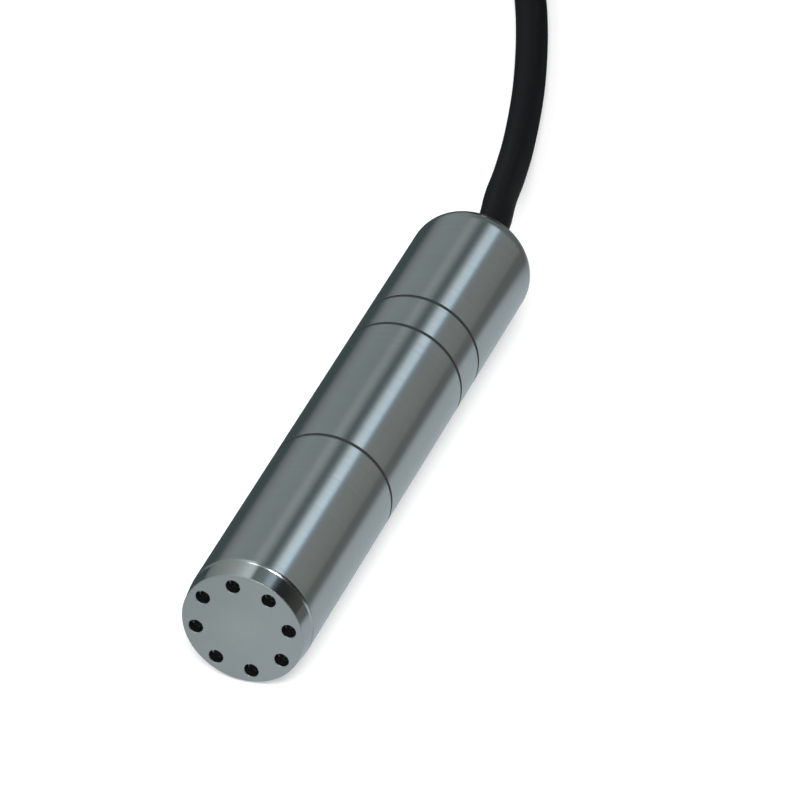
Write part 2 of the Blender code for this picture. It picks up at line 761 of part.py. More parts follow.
def coil_section():
    """The outer corners of the coil's section, clockwise from the top turn's inner edge."""
    corner = COIL_CORNER
    return [
        (COIL_STEP, COIL_TOP),
        (COIL_OUTSIDE - corner, COIL_TOP),
        (COIL_OUTSIDE, COIL_TOP - corner),
        (COIL_OUTSIDE, COIL_FLOOR + corner),
        (COIL_OUTSIDE - corner, COIL_FLOOR),
        (COIL_INSIDE + corner, COIL_FLOOR),
        (COIL_INSIDE, COIL_FLOOR + corner),
        (COIL_INSIDE, COIL_SHELF - corner),
        (COIL_INSIDE + corner, COIL_SHELF),
    ]


def make_coil():
    """The stored length as one long ring: four rows of turns and a last turn on the outside."""
    section = [*coil_section(), (COIL_STEP, COIL_SHELF)]
    shape = bmesh.new()
    rings = []
    for middle, start in ((COIL_STRAIGHT, 0), (0, math.pi)):
        for i in range(COIL_BEND_STEPS + 1):
            angle = start + math.pi * i / COIL_BEND_STEPS
            outwards = Vector((math.cos(angle), math.sin(angle), 0))
            foot = Vector((0, middle, 0))
            rings.append([shape.verts.new(foot + outwards * radius + Vector((0, 0, z))) for radius, z in section])
    for here, there in zip(rings, rings[1:] + rings[:1]):
        for i in range(len(section)):
            j = (i + 1) % len(section)
            shape.faces.new((here[i], here[j], there[j], there[i]))
    bmesh.ops.recalc_face_normals(shape, faces=shape.faces)
    mesh = bpy.data.meshes.new("cable_coil")
    shape.to_mesh(mesh)
    shape.free()
    coil = add_object("cable_coil", mesh, "black_jacket")
    coil.location = (*COIL_CENTRE, 0)
    shade(coil)


def grown(outline, distance):
    """A closed outline that runs clockwise, moved outwards by a distance at every side."""
    moved = []
    for i, corner in enumerate(outline):
        before = Vector(corner) - Vector(outline[i - 1])
        after = Vector(outline[(i + 1) % len(outline)]) - Vector(corner)
        out_before = Vector((-before.y, before.x)).normalized()
        out_after = Vector((-after.y, after.x)).normalized()
        middle = (out_before + out_after).normalized()
        moved.append(Vector(corner) + middle * distance / middle.dot(out_before))
    return moved


def make_tie(number, share, angle):
    """A nylon tie round the coil's section: a closed strap and its square head, on the coil's inner side."""
    section = coil_section()
    name = f"coil_tie_{number}"
    curve = bpy.data.curves.new(name, "CURVE")
    curve.dimensions = "2D"
    curve.fill_mode = "BOTH"
    curve.extrude = TIE_WIDTH / 2
    for outline in (grown(section, GAP + TIE_THICKNESS), grown(section, GAP)):
        spline = curve.splines.new("POLY")
        spline.points.add(len(outline) - 1)
        spline.use_cyclic_u = True
        for point, (across, above) in zip(spline.points, outline):
            point.co = (across, above, 0, 1)
    strap = add_object(name, curve, "white_nylon")
    outwards = Vector((math.cos(angle), math.sin(angle), 0))
    sideways = Vector((math.sin(angle), -math.cos(angle), 0))
    turn = Matrix((outwards, (0, 0, 1), sideways)).transposed().to_4x4()
    place = Matrix.Translation((COIL_CENTRE[0], COIL_CENTRE[1] + share * COIL_STRAIGHT, 0)) @ turn
    strap.matrix_world = place
    tie = curve_as_mesh(strap)

    thick, wide, tall = TIE_HEAD
    middle = COIL_INSIDE - GAP - TIE_THICKNESS + TIE_HEAD_SINK - thick / 2
    head = block(f"tie_head_{number}", (thick, tall, wide), (0, 0, 0), None, cutters)
    head.matrix_world = place @ Matrix.Translation((middle, COIL_SHELF / 2, 0))
    unite(tie, hide_cutter(head))
    shade(tie)


def curve_as_mesh(obj):
    """The curve object made a mesh object of the same name and place, its caps joined to its sides."""
    bpy.context.view_layer.update()
    evaluated = obj.evaluated_get(bpy.context.evaluated_depsgraph_get())
    mesh = bpy.data.meshes.new_from_object(evaluated)
    shape = bmesh.new()
    shape.from_mesh(mesh)
    bmesh.ops.remove_doubles(shape, verts=shape.verts, dist=1e-6)
    shape.to_mesh(mesh)
    shape.free()
    name = obj.name
    place = obj.matrix_world.copy()
    bpy.data.objects.remove(obj)
    made = bpy.data.objects.new(name, mesh)
    parts.objects.link(made)
    made.matrix_world = place
    return made


def make_far_end():
    """The cable's last length on top of the coil, its sleeve, and the four stripped cores."""
    height = COIL_SHELF + GAP + SLEEVE_RADIUS
    outer = COIL_STEP - GAP - CABLE_RADIUS
    bend = []
    for i in range(TAIL_BENDS + 1):
        share = i / TAIL_BENDS
        bend.append(in_coil(outer - TAIL_DRIFT * share**1.5, TAIL_RUN * share, height))
    ahead = (bend[-1] - bend[-2]).normalized()
    tail_end = bend[-1] + ahead * TAIL_STRAIGHT
    route = smooth_route([*bend, tail_end - ahead * SLEEVE_GRIP], TAIL_POINT_SPACING)
    tube("cable_tail", [*route, tail_end], CABLE_RADIUS, "black_jacket", 3)

    sleeve_start = tail_end - ahead * (SLEEVE_GRIP - GAP)
    upwards = Vector((0, 0, 1))
    sideways = ahead.cross(upwards)
    profile = [
        (CORE_BORE, SLEEVE_LENGTH),
        (SLEEVE_TIP_RADIUS, SLEEVE_LENGTH),
        (SLEEVE_TIP_RADIUS, SLEEVE_TAPER_END),
        (SLEEVE_RADIUS, SLEEVE_TAPER_START),
        (SLEEVE_RADIUS, 0),
        (CABLE_HOLE, 0),
        (CABLE_HOLE, SLEEVE_GRIP),
        (CORE_BORE, SLEEVE_GRIP),
    ]
    sleeve = turned("end_sleeve", profile, "black_rubber", steps=SMALL_STEPS)
    sleeve.matrix_world = Matrix.Translation(sleeve_start) @ Matrix((sideways, upwards, ahead)).transposed().to_4x4()
    shade(sleeve)

    ranked = sorted(CORES, key=lambda core: core[2])
    for rank, (name, radius, across, above) in enumerate(ranked):
        inside = sleeve_start + ahead * (SLEEVE_GRIP + GAP) + sideways * across + upwards * above
        mouth = sleeve_start + ahead * (SLEEVE_LENGTH + LEAD_STRAIGHT) + sideways * across + upwards * above
        route = [inside, mouth]
        resting = COIL_SHELF + GAP + radius
        lane = (rank - (len(CORES) - 1) / 2) * LEAD_SPACING
        for i in range(1, LEAD_BENDS + 1):
            share = i / LEAD_BENDS
            drop = max(0.0, (share - LEAD_DROP_START) / (1 - LEAD_DROP_START))
            fall = (resting - mouth.z) * drop * drop * (3 - 2 * drop)
            spread = (lane - across) * min(1.0, 2 * share)
            route.append(mouth + ahead * LEAD_LENGTH * share + sideways * spread + upwards * fall)
        tube(f"end_{name}", smooth_route(route, LEAD_POINT_SPACING), radius, CORE_SURFACES[name])


def main():
    clear_scene()
    make_materials()
    axis = add_probe_axis()
    make_housing(axis)
    make_nose_cap(axis)
    make_clamp_ring(axis)
    pin_places = make_sensor(axis)
    make_sensor_wires(pin_places)
    make_carrier(axis)
    make_board()
    for component in COMPONENTS:
        make_chip(*component)
    make_gland(axis)
    make_cable_end(axis)
    make_board_leads()
    make_cable()
    make_coil()
    for number, (share, angle) in enumerate(TIE_PLACES, start=1):
        make_tie(number, share, angle)
    make_far_end()


main()
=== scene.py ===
# %% [markdown]
# # A submersible level transmitter
# This lesson dresses a steel probe that hangs in a tank on its cable and measures how deep the liquid is.
# The solids arrive from an engineering model and stay where they are. Each cell looks at one piece or one
# finish of the real thing, says how it could be made in Blender, and why this way was chosen.

# %% Load the solids
import json
import math

import bmesh
import bpy
from mathutils import Matrix, Vector


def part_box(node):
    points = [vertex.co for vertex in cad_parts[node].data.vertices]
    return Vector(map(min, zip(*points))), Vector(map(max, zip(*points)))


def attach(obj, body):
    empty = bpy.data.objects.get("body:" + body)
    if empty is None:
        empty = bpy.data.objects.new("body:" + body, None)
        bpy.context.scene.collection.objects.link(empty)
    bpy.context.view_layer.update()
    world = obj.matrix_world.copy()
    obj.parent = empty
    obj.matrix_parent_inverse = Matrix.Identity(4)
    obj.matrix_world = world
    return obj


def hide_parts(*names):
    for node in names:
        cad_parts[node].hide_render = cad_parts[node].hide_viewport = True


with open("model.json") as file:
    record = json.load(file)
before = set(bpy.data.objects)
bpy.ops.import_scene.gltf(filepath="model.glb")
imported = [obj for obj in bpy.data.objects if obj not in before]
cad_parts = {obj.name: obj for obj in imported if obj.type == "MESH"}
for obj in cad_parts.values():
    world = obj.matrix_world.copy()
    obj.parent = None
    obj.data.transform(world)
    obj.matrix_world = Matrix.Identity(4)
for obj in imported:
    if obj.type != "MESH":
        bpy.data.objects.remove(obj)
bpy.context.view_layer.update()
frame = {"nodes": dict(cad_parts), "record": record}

# %% [markdown]
# ## Sizes
# The probe is a body of revolution about a line along Y. A point on it is told best by its distance from
# that line and its station, which is how far it lies behind the flat front of the nose cap. The main sizes
# are read from the solids, so the dressed pieces can't drift away from them.

# %% Read the probe's axis and sizes
tube_low, tube_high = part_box("housing_tube")
cap_low, cap_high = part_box("nose_cap")
NOSE_Y = cap_low.y
AXIS_Z = (tube_low.z + tube_high.z) / 2
TUBE_RADIUS = (tube_high.x - tube_low.x) / 2
CAP_RADIUS = (cap_high.x - cap_low.x) / 2
PROBE_LENGTH = tube_high.y - NOSE_Y
TUBE_START = tube_low.y - NOSE_Y
SKIRT_END = cap_high.y - NOSE_Y
GAP = 0.0003
print(f"tube {2000 * TUBE_RADIUS:.1f} mm thick, probe {1000 * PROBE_LENGTH:.1f} mm long")

# %% [markdown]
# ## The camera
# The picture was taken from above the nose, to its right, with a long lens that hardly narrows the far end.
# A camera's axes are its right, its up and the direction back from what it looks at, so two angles and a
# place set it without any constraint.

# %% Place the camera
CAMERA_TURN = math.radians(19.89)
CAMERA_RISE = math.radians(35.16)
CAMERA_PLACE = (0.450496, -1.224325, 0.940357)
CAMERA_LENS = 360
CAMERA_SENSOR = 36
CAMERA_REACH = 50


def add_object(name, data):
    """A new object of this data, in the scene."""
    made = bpy.data.objects.new(name, data)
    bpy.context.scene.collection.objects.link(made)
    return made


def camera_axes(turn, rise):
    """Right, up and back of a camera that looks along +Y, turned round Z and raised."""
    right = Vector((math.cos(turn), math.sin(turn), 0))
    back = Vector((math.sin(turn) * math.cos(rise), -math.cos(turn) * math.cos(rise), math.sin(rise)))
    return right, back.cross(right), back


camera = add_object("camera", bpy.data.cameras.new("camera"))
bpy.context.scene.camera = camera
camera.data.lens = CAMERA_LENS
camera.data.sensor_width = CAMERA_SENSOR
camera.data.clip_end = CAMERA_REACH
facing = Matrix(camera_axes(CAMERA_TURN, CAMERA_RISE)).transposed().to_4x4()
camera.matrix_world = Matrix.Translation(CAMERA_PLACE) @ facing
print(f"camera: {CAMERA_LENS} mm lens, {Vector(CAMERA_PLACE).length:.2f} m from the origin")

# %% [markdown]
# ## Writing node trees as expressions
# A shader that is wired by hand is hard to read. Here one class wraps an output socket, and its operators
# add Math nodes, so that a mask can be written as `1 - ring * 2`. The same small tree class also builds the
# Geometry Nodes further down, because both kinds of tree take nodes and links in the same way.


# %% Wrap sockets and trees
class Wire:
    """An output socket of a node tree that arithmetic can be written with."""

    def __init__(self, tree, socket):
        self.tree = tree
        self.socket = socket

    def math(self, operation, *others):
        return self.tree.math(operation, self, *others)

    def __add__(self, other):
        return self.math("ADD", other)

    def __radd__(self, other):
        return self.math("ADD", other)

    def __mul__(self, other):
        return self.math("MULTIPLY", other)

    def __rmul__(self, other):
        return self.math("MULTIPLY", other)

    def __sub__(self, other):
        return self.math("SUBTRACT", other)

    def __rsub__(self, other):
        return self.tree.math("SUBTRACT", other, self)

    def __truediv__(self, other):
        return self.math("DIVIDE", other)

    def below(self, limit):
        return self.math("LESS_THAN", limit)


class Tree:
    """A node tree, with one method that adds a node of any kind."""

    def __init__(self, nodes):
        self.nodes = nodes

    def make(self, kind, settings=None, sockets=None):
        made = self.nodes.nodes.new(kind)
        for key, value in (settings or {}).items():
            if key == "stops":
                self.set_stops(made.color_ramp, value)
            else:
                setattr(made, key, value)
        for key, value in (sockets or {}).items():
            if isinstance(value, Wire):
                self.nodes.links.new(value.socket, made.inputs[key])
            else:
                made.inputs[key].default_value = value
        return made

    def add(self, kind, settings=None, sockets=None, output=0):
        return Wire(self, self.make(kind, settings, sockets).outputs[output])

    def set_stops(self, ramp, stops):
        while len(ramp.elements) < len(stops):
            ramp.elements.new(1.0)
        for element, (position, colour) in zip(ramp.elements, stops):
            element.position = position
            element.color = (*colour, 1.0)

    def math(self, operation, *values):
        """One Math node on these values, in this order."""
        return self.add("ShaderNodeMath", {"operation": operation}, dict(enumerate(values)))

    def split(self, vector):
        """The three parts of a vector."""
        parts = self.make("ShaderNodeSeparateXYZ", None, {0: vector})
        return [Wire(self, socket) for socket in parts.outputs]

    def mix(self, share, low, high):
        """A colour between two, by a share from 0 to 1."""
        sockets = {0: share, 6: with_alpha(low), 7: with_alpha(high)}
        return self.add("ShaderNodeMix", {"data_type": "RGBA"}, sockets, output=2)

    def ramp(self, value, start, end):
        """0 up to the start and 1 from the end on, with a soft change between them."""
        sockets = {"Value": value, "From Min": start, "From Max": end}
        return self.add("ShaderNodeMapRange", {"interpolation_type": "SMOOTHSTEP"}, sockets)


def with_alpha(colour):
    return colour if isinstance(colour, Wire) else (*colour, 1.0)


# %% [markdown]
# ## A material to start from
# Every finish here is one Principled shader. What changes over the surface comes from Object coordinates:
# the pieces sit at the origin, so those are plain metres in the frame of the probe, and they stay with a
# piece when it moves.


# %% Open a material and read its coordinates
class Finish(Tree):
    """A material with one Principled shader and the surface's place in metres."""

    def __init__(self, name):
        self.material = bpy.data.materials.new(name)
        self.material.use_nodes = True
        super().__init__(self.material.node_tree)
        self.shader = self.nodes.nodes["Principled BSDF"]
        self.place = self.add("ShaderNodeTexCoord", output="Object")

    def noise(self, scale, stretch=None):
        """Soft noise from 0 to 1, of this many cells a metre, stretched along an axis if wanted."""
        place = self.place
        if stretch:
            place = self.add("ShaderNodeVectorMath", {"operation": "MULTIPLY"}, {0: place, 1: stretch})
        return self.add("ShaderNodeTexNoise", None, {"Vector": place, "Scale": scale, "Detail": 3.0})

    def line_noise(self, along, scale, detail):
        """Noise that changes along one measure only, as tool marks do."""
        sockets = {"W": along * scale, "Scale": 1.0, "Detail": detail}
        return self.add("ShaderNodeTexNoise", {"noise_dimensions": "1D"}, sockets)

    def between(self, value, low, high):
        """A value from 0 to 1 spread between two others."""
        return self.add("ShaderNodeMapRange", None, {"Value": value, "To Min": low, "To Max": high})

    def bump(self, height, depth):
        """Dents of this depth in metres feed the shader's normal."""
        sockets = {"Height": height, "Distance": depth, "Strength": 1.0}
        self.set(Normal=self.add("ShaderNodeBump", None, sockets))

    def set(self, **inputs):
        for key, value in inputs.items():
            socket = self.shader.inputs[key.replace("_", " ")]
            if isinstance(value, Wire):
                self.nodes.links.new(value.socket, socket)
            elif isinstance(value, tuple):
                socket.default_value = (*value, 1.0)
            else:
                socket.default_value = value


# %% [markdown]
# ## Turned steel
# The housing was turned in a lathe from stainless bar. The tool leaves rings round the bar, finer than a
# tenth of a millimetre, which spread a reflection along the bar and keep it sharp across. An anisotropic
# shader could say the same, but it needs a tangent that an exported model loses, so the rings are made as
# noise along Y that tilts the surface a little and varies how rough it is. Three fine grooves ring the
# tube, and their dark colour spreads a little past their edges.

# %% Satin steel for the housing
MARK_STATIONS = (0.0491, 0.0902, 0.1006)
MARK_WIDTH = 0.0006
MARK_SHADE_WIDTH = 0.0009
MARK_DEPTH = 0.0001
RING_CELLS = 16000
BROAD_RING_CELLS = 900
TUBE_CLOUD_CELLS = 60
RING_DENT = 0.0000035


def marked(along):
    """1 in the marked lines, 0 elsewhere."""
    total = None
    for station in MARK_STATIONS:
        near = (along - (NOSE_Y + station)).math("ABSOLUTE").below(MARK_SHADE_WIDTH / 2)
        total = near if total is None else total + near
    return total


def satin_steel():
    finish = Finish("satin_steel")
    along = finish.split(finish.place)[1]
    fine = finish.line_noise(along, RING_CELLS, 2.0)
    broad = finish.line_noise(along, BROAD_RING_CELLS, 3.0)
    cloud = finish.noise(TUBE_CLOUD_CELLS)
    lines = marked(along)
    metal = finish.mix(cloud, (0.50, 0.525, 0.52), (0.60, 0.615, 0.605))
    metal = finish.mix(broad * 0.35, metal, (0.47, 0.49, 0.49))
    finish.set(
        Base_Color=finish.mix(lines, metal, (0.035, 0.037, 0.04)),
        Metallic=1 - lines * 0.7,
        Roughness=finish.between(fine * 0.75 + broad * 0.25, 0.08, 0.28) + lines * 0.25,
    )
    finish.bump(fine * 0.8 + broad * 0.2, RING_DENT)
    return finish.material


STEEL_BODY = satin_steel()
print("satin steel:", len(STEEL_BODY.node_tree.nodes), "nodes")

# %% [markdown]
# ## The nose cap's two finishes
# The flat front was faced off and then dulled, so it shows as an even grey with only the ghost of rings
# round its middle. The narrow rim behind it was left as the tool cut it, nearly a mirror. The drilled holes
# have dull walls that hardly give any light back, and they are painted near-black as shade. One material can
# hold all three: masks on the station and the distance from the axis pick the front and the walls, and that
# distance gives the rings.

# %% Faced steel for the nose cap
FACE_DEPTH = 0.0002
HOLES_WITHIN = 0.0116
CAP_FACE_WALL = 0.002
HOLE_WALL_MARGIN = 0.00002
FACE_RING_CELLS = 5200
FACE_CLOUD_CELLS = 140
GHOST_RING_CELLS = 1100
GHOST_FADE = (0.0015, 0.007)
FACE_DENT = 0.000002


def faced_steel():
    finish = Finish("faced_steel")
    across, along, up = finish.split(finish.place)
    above = up - AXIS_Z
    radius = (across * across + above * above).math("SQRT")
    front = along.below(NOSE_Y + FACE_DEPTH)
    behind = 1 - front
    before_pocket = along.below(NOSE_Y + CAP_FACE_WALL - HOLE_WALL_MARGIN)
    # Painted shade: the walls of the holes are painted near-black, as the shade that falls inside them.
    painted_shade_walls = behind * before_pocket * radius.below(HOLES_WITHIN)
    rings = finish.line_noise(radius, FACE_RING_CELLS, 2.0)
    side_rings = finish.line_noise(along, RING_CELLS, 2.0)
    cloud = finish.noise(FACE_CLOUD_CELLS)
    ghost = finish.line_noise(radius, GHOST_RING_CELLS, 1.0) * (1 - finish.ramp(radius, *GHOST_FADE))
    face = finish.mix(rings * 0.2 + cloud * 0.8, (0.47, 0.52, 0.53), (0.56, 0.605, 0.612))
    face = finish.mix(ghost * 0.35, face, (0.66, 0.70, 0.70))
    side = finish.mix(cloud, (0.52, 0.54, 0.54), (0.60, 0.61, 0.61))
    side_with_painted_shade = finish.mix(painted_shade_walls, side, (0.012, 0.012, 0.011))
    rough_face = finish.between(rings, 0.42, 0.52)
    rough_side = finish.between(side_rings, 0.06, 0.16) + painted_shade_walls * 0.4
    finish.set(
        Base_Color=finish.mix(front, side_with_painted_shade, face),
        Metallic=1 - painted_shade_walls * 0.5,
        Roughness=front * rough_face + behind * rough_side,
    )
    finish.bump(front * rings + behind * side_rings * 0.3, FACE_DENT)
    return finish.material


STEEL_FACE = faced_steel()
print("faced steel:", len(STEEL_FACE.node_tree.nodes), "nodes")

# %% [markdown]
# ## The other finishes
# The small parts need less, but none of them is one flat colour. One recipe serves them all: noise of the
# material's own grain varies its colour a little, its roughness a little, and dents it by a few microns.


# %% One recipe for the plainer finishes
def grained(name, dark, light, rough, grain, depth, metallic=0.0, stretch=None, **extras):
    """A finish whose colour and roughness follow one noise of so many grains a metre."""
    finish = Finish(name)
    cells = finish.noise(grain, stretch)
    finish.set(
        Base_Color=finish.mix(cells, dark, light),
        Roughness=finish.between(cells, *rough),
        Metallic=metallic,
        **extras,
    )
    finish.bump(cells, depth)
    return finish.material


def board_mask():
    """Solder mask over copper tracks: a brick pattern of fine lines stands for the tracks."""
    finish = Finish("board_laminate")
    sockets = {"Vector": finish.place, "Scale": 1.0}
    sockets |= {"Brick Width": 0.0046, "Row Height": 0.0017, "Mortar Size": 0.00012}
    tracks = finish.add("ShaderNodeTexBrick", {"offset": 0.37}, sockets, output=1)
    finish.set(Base_Color=finish.mix(tracks, (0.012, 0.12, 0.05), (0.03, 0.24, 0.1)), Roughness=0.35)
    finish.bump(tracks, 0.00003)
    return finish.material


RING_STRETCH = (0.02, 1.0, 0.02)
CORE_GRAIN = ((0.35, 0.5), 1500, 4e-6)
NYLON_GLOW = {"Subsurface_Weight": 0.2, "Subsurface_Scale": 0.001}
FINISHES = {
    "steel_body": STEEL_BODY,
    "steel_face": STEEL_FACE,
    "sensor_steel": grained(
        "sensor_steel", (0.55, 0.56, 0.57), (0.66, 0.67, 0.67), (0.12, 0.28), 9000, 2e-6, 1.0, RING_STRETCH
    ),
    "gold_pins": grained("gold_plate", (0.78, 0.55, 0.22), (0.88, 0.66, 0.30), (0.2, 0.32), 6000, 2e-6, 1.0),
    "gland_brass": grained(
        "turned_brass", (0.62, 0.45, 0.18), (0.75, 0.58, 0.27), (0.2, 0.36), 8000, 3e-6, 1.0, RING_STRETCH
    ),
    "seal_rubber": grained(
        "seal_rubber", (0.016, 0.016, 0.017), (0.03, 0.03, 0.032), (0.55, 0.8), 2500, 8e-6
    ),
    "cable_jacket": grained(
        "cable_jacket", (0.0035, 0.004, 0.005), (0.0055, 0.0062, 0.0074), (0.34, 0.48), 900, 1.2e-5,
        Specular_IOR_Level=0.09,
    ),
    "carrier_plastic": grained(
        "carrier_plastic", (0.55, 0.52, 0.45), (0.62, 0.6, 0.53), (0.4, 0.6), 2000, 6e-6
    ),
    "board_laminate": board_mask(),
    "chip_plastic": grained(
        "chip_plastic", (0.012, 0.012, 0.013), (0.028, 0.028, 0.03), (0.4, 0.6), 7000, 4e-6
    ),
    "capacitor_plastic": grained(
        "capacitor_shell", (0.5, 0.27, 0.03), (0.62, 0.37, 0.06), (0.3, 0.45), 3000, 3e-6
    ),
    "red_insulation": grained("red_core", (0.4, 0.012, 0.01), (0.5, 0.025, 0.018), *CORE_GRAIN),
    "green_insulation": grained("green_core", (0.01, 0.18, 0.045), (0.02, 0.26, 0.07), *CORE_GRAIN),
    "blue_insulation": grained("blue_core", (0.012, 0.06, 0.3), (0.02, 0.1, 0.42), *CORE_GRAIN),
    "vent_nylon": grained(
        "vent_nylon", (0.62, 0.64, 0.6), (0.74, 0.75, 0.72), (0.25, 0.4), 1500, 3e-6,
        Coat_Weight=0.2, **NYLON_GLOW,
    ),
    "tie_nylon": grained(
        "tie_nylon", (0.66, 0.66, 0.62), (0.76, 0.76, 0.72), (0.35, 0.5), 1200, 6e-6, **NYLON_GLOW
    ),
    "tinned_copper": grained(
        "tinned_copper", (0.52, 0.5, 0.46), (0.7, 0.66, 0.6), (0.25, 0.4), 5000, 3e-6, 1.0
    ),
}
print("finishes:", len(FINISHES))

# %% [markdown]
# ## Turning a profile
# A lathe makes a solid from one outline, and so does this cell: each point of the outline, a radius and a
# station, goes round the axis in even steps. The Screw modifier could do it too. Building the rings in
# code lets every round piece share one function and come out as a plain mesh that sits at the origin.


# %% Turn an outline about the probe's axis
MERGE_DISTANCE = 1e-7


def arc(centre, radius, start, end, count):
    """Points of an arc in the plane of an outline, from one angle in degrees to another."""
    points = []
    for i in range(count + 1):
        angle = math.radians(start + (end - start) * i / count)
        points.append((centre[0] + radius * math.cos(angle), centre[1] + radius * math.sin(angle)))
    return points


def on_probe(radius, station, angle):
    """The place at this radius and station, at an angle from +X towards +Z."""
    return Vector((radius * math.cos(angle), NOSE_Y + station, AXIS_Z + radius * math.sin(angle)))


def soften(mesh, degrees=30):
    """Smooth shading, except over edges that bend more than this."""
    mesh.shade_smooth()
    mesh.set_sharp_from_angle(angle=math.radians(degrees))


def object_of(name, shape, smooth_degrees=30):
    """A mesh object from a finished shape: doubles merged, normals outwards, sharp edges kept."""
    bmesh.ops.remove_doubles(shape, verts=shape.verts, dist=MERGE_DISTANCE)
    bmesh.ops.recalc_face_normals(shape, faces=shape.faces)
    mesh = bpy.data.meshes.new(name)
    shape.to_mesh(mesh)
    shape.free()
    soften(mesh, smooth_degrees)
    return add_object(name, mesh)


def join_rings(shape, rings, closed=True):
    """Faces from each ring of points to the next one, and from the last back to the first."""
    count = len(rings[0])
    for k, here in enumerate(rings):
        there = rings[(k + 1) % len(rings)]
        for i in range(count if closed else count - 1):
            j = (i + 1) % count
            shape.faces.new((here[i], here[j], there[j], there[i]))


def turned(name, outline, steps, closed=True, place=on_probe, smooth_degrees=30):
    """An outline taken round its line. One that starts and ends on the line isn't closed."""
    shape = bmesh.new()
    rings = []
    for k in range(steps):
        angle = 2 * math.pi * k / steps
        rings.append([shape.verts.new(place(radius, station, angle)) for radius, station in outline])
    join_rings(shape, rings, closed)
    return object_of(name, shape, smooth_degrees)


def dress(piece, finish, body, *nodes):
    """Gives a piece its finish, its body and the solids that it stands for."""
    piece.data.materials.clear()
    piece.data.materials.append(FINISHES[finish])
    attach(piece, body)
    if nodes:
        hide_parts(*nodes)
    return piece


def size_of(piece):
    piece.data.calc_loop_triangles()
    print(f"{piece.name}: {len(piece.data.loop_triangles)} triangles")


# %% [markdown]
# ## The housing
# It is one bar, bored from the front. What gives it its look is the large round shoulder at the cable end,
# the fine lines cut round it, and the small chamfer at the front that throws two bright glints. The bore
# behind the cap shows when the cap is off, so its steps are turned as well. Smooth shading spreads a bend in
# the outline over the whole next face, so an extra ring close behind each soft edge holds the tube straight.

# %% Turn the housing
STEPS = 256
SHADING_HOLD = 0.0003
SHOULDER_RADIUS = 0.0065
SHOULDER_STEPS = 28
MOUTH_RADIUS = 0.001
MOUTH_STEPS = 8
CABLE_RADIUS = 0.0035
CABLE_HOLE = CABLE_RADIUS + GAP
FRONT_CHAMFER = 0.0005
CAP_BORE = 0.0115
SENSOR_BORE = 0.0098
BOARD_BORE = 0.0085
GLAND_BORE = 0.0072
BORE_STATIONS = (0.0140, 0.0293, 0.1119, 0.128)
EDGE = 0.00003


def housing_outline():
    shoulder = min(SHOULDER_RADIUS, TUBE_RADIUS - CABLE_HOLE - MOUTH_RADIUS)
    mouth = (CABLE_HOLE + MOUTH_RADIUS, PROBE_LENGTH - MOUTH_RADIUS)
    outline = arc(mouth, MOUTH_RADIUS, 180, 90, MOUTH_STEPS)
    outline += arc((TUBE_RADIUS - shoulder, PROBE_LENGTH - shoulder), shoulder, 90, 0, SHOULDER_STEPS)
    outline.append((TUBE_RADIUS, PROBE_LENGTH - shoulder - SHADING_HOLD))
    for station in sorted(MARK_STATIONS, reverse=True):
        low, high = station - MARK_WIDTH / 2, station + MARK_WIDTH / 2
        floor = TUBE_RADIUS - MARK_DEPTH
        outline += [(TUBE_RADIUS, high + EDGE), (floor, high - EDGE)]
        outline += [(floor, low + EDGE), (TUBE_RADIUS, low - EDGE)]
    front = TUBE_START + FRONT_CHAMFER
    inner = TUBE_RADIUS - FRONT_CHAMFER
    outline += [(TUBE_RADIUS, front + SHADING_HOLD), (TUBE_RADIUS, front + EDGE)]
    outline += [(TUBE_RADIUS - EDGE, front - EDGE), (inner + EDGE, TUBE_START + EDGE)]
    outline += [(inner - EDGE, TUBE_START)]
    seat, sensor_end, gland, wall = BORE_STATIONS
    outline += [(CAP_BORE, TUBE_START), (CAP_BORE, seat), (SENSOR_BORE, seat), (SENSOR_BORE, sensor_end)]
    outline += [(BOARD_BORE, sensor_end), (BOARD_BORE, gland), (GLAND_BORE, gland), (GLAND_BORE, wall)]
    outline += [(CABLE_HOLE, wall)]
    return outline


housing = turned("housing", housing_outline(), STEPS)
dress(housing, "steel_body", "housing", "housing_tube")
size_of(housing)

# %% [markdown]
# ## The nose cap
# A ring of small holes lets the liquid in and keeps fingers and stones away from the sensor. Holes in a
# turned disc are a job for the Boolean modifier. Each drill here is a turned piece itself, a little wider
# at the face, so the cut leaves the fine broken edge that a deburring tool leaves. The rim narrows to the
# front by 0.4 mm in radius, which is enough for it to mirror another part of the room than the tube does.

# %% Turn the cap and drill its holes
CAP_LENGTH = 0.004
CAP_EDGE = 0.0003
CAP_EDGE_STEPS = 5
CAP_TAPER = 0.0002
CAP_POCKET = 0.0114
CAP_POCKET_DEPTH = 0.0009
SKIRT_WALL = 0.001
SKIRT_EDGE = 0.0002
HOLE_COUNT = 8
HOLE_RADIUS = 0.0015
HOLE_CIRCLE = 0.0098
FIRST_HOLE_ANGLE = math.radians(10.6)
HOLE_BREAK = 0.00008
HOLE_STEPS = 48


def cap_outline():
    skirt = CAP_BORE - GAP
    bore = skirt - SKIRT_WALL
    pocket_end = CAP_FACE_WALL + CAP_POCKET_DEPTH
    outline = [(bore, SKIRT_END), (skirt - SKIRT_EDGE, SKIRT_END)]
    outline += [(skirt, SKIRT_END - SKIRT_EDGE), (skirt, CAP_LENGTH)]
    outline += [(CAP_RADIUS + CAP_TAPER - EDGE, CAP_LENGTH), (CAP_RADIUS + CAP_TAPER, CAP_LENGTH - EDGE)]
    outline += arc((CAP_RADIUS - CAP_TAPER - CAP_EDGE, CAP_EDGE), CAP_EDGE, 0, -90, CAP_EDGE_STEPS)
    outline += [(0, 0), (0, CAP_FACE_WALL), (CAP_POCKET, CAP_FACE_WALL), (CAP_POCKET, pocket_end)]
    outline += [(bore, pocket_end + CAP_POCKET - bore)]
    return outline


def evaluated(piece):
    """The plain mesh that a piece's modifiers make. They are then removed."""
    bpy.context.view_layer.update()
    graph = bpy.context.evaluated_depsgraph_get()
    mesh = bpy.data.meshes.new_from_object(piece.evaluated_get(graph))
    piece.modifiers.clear()
    return mesh


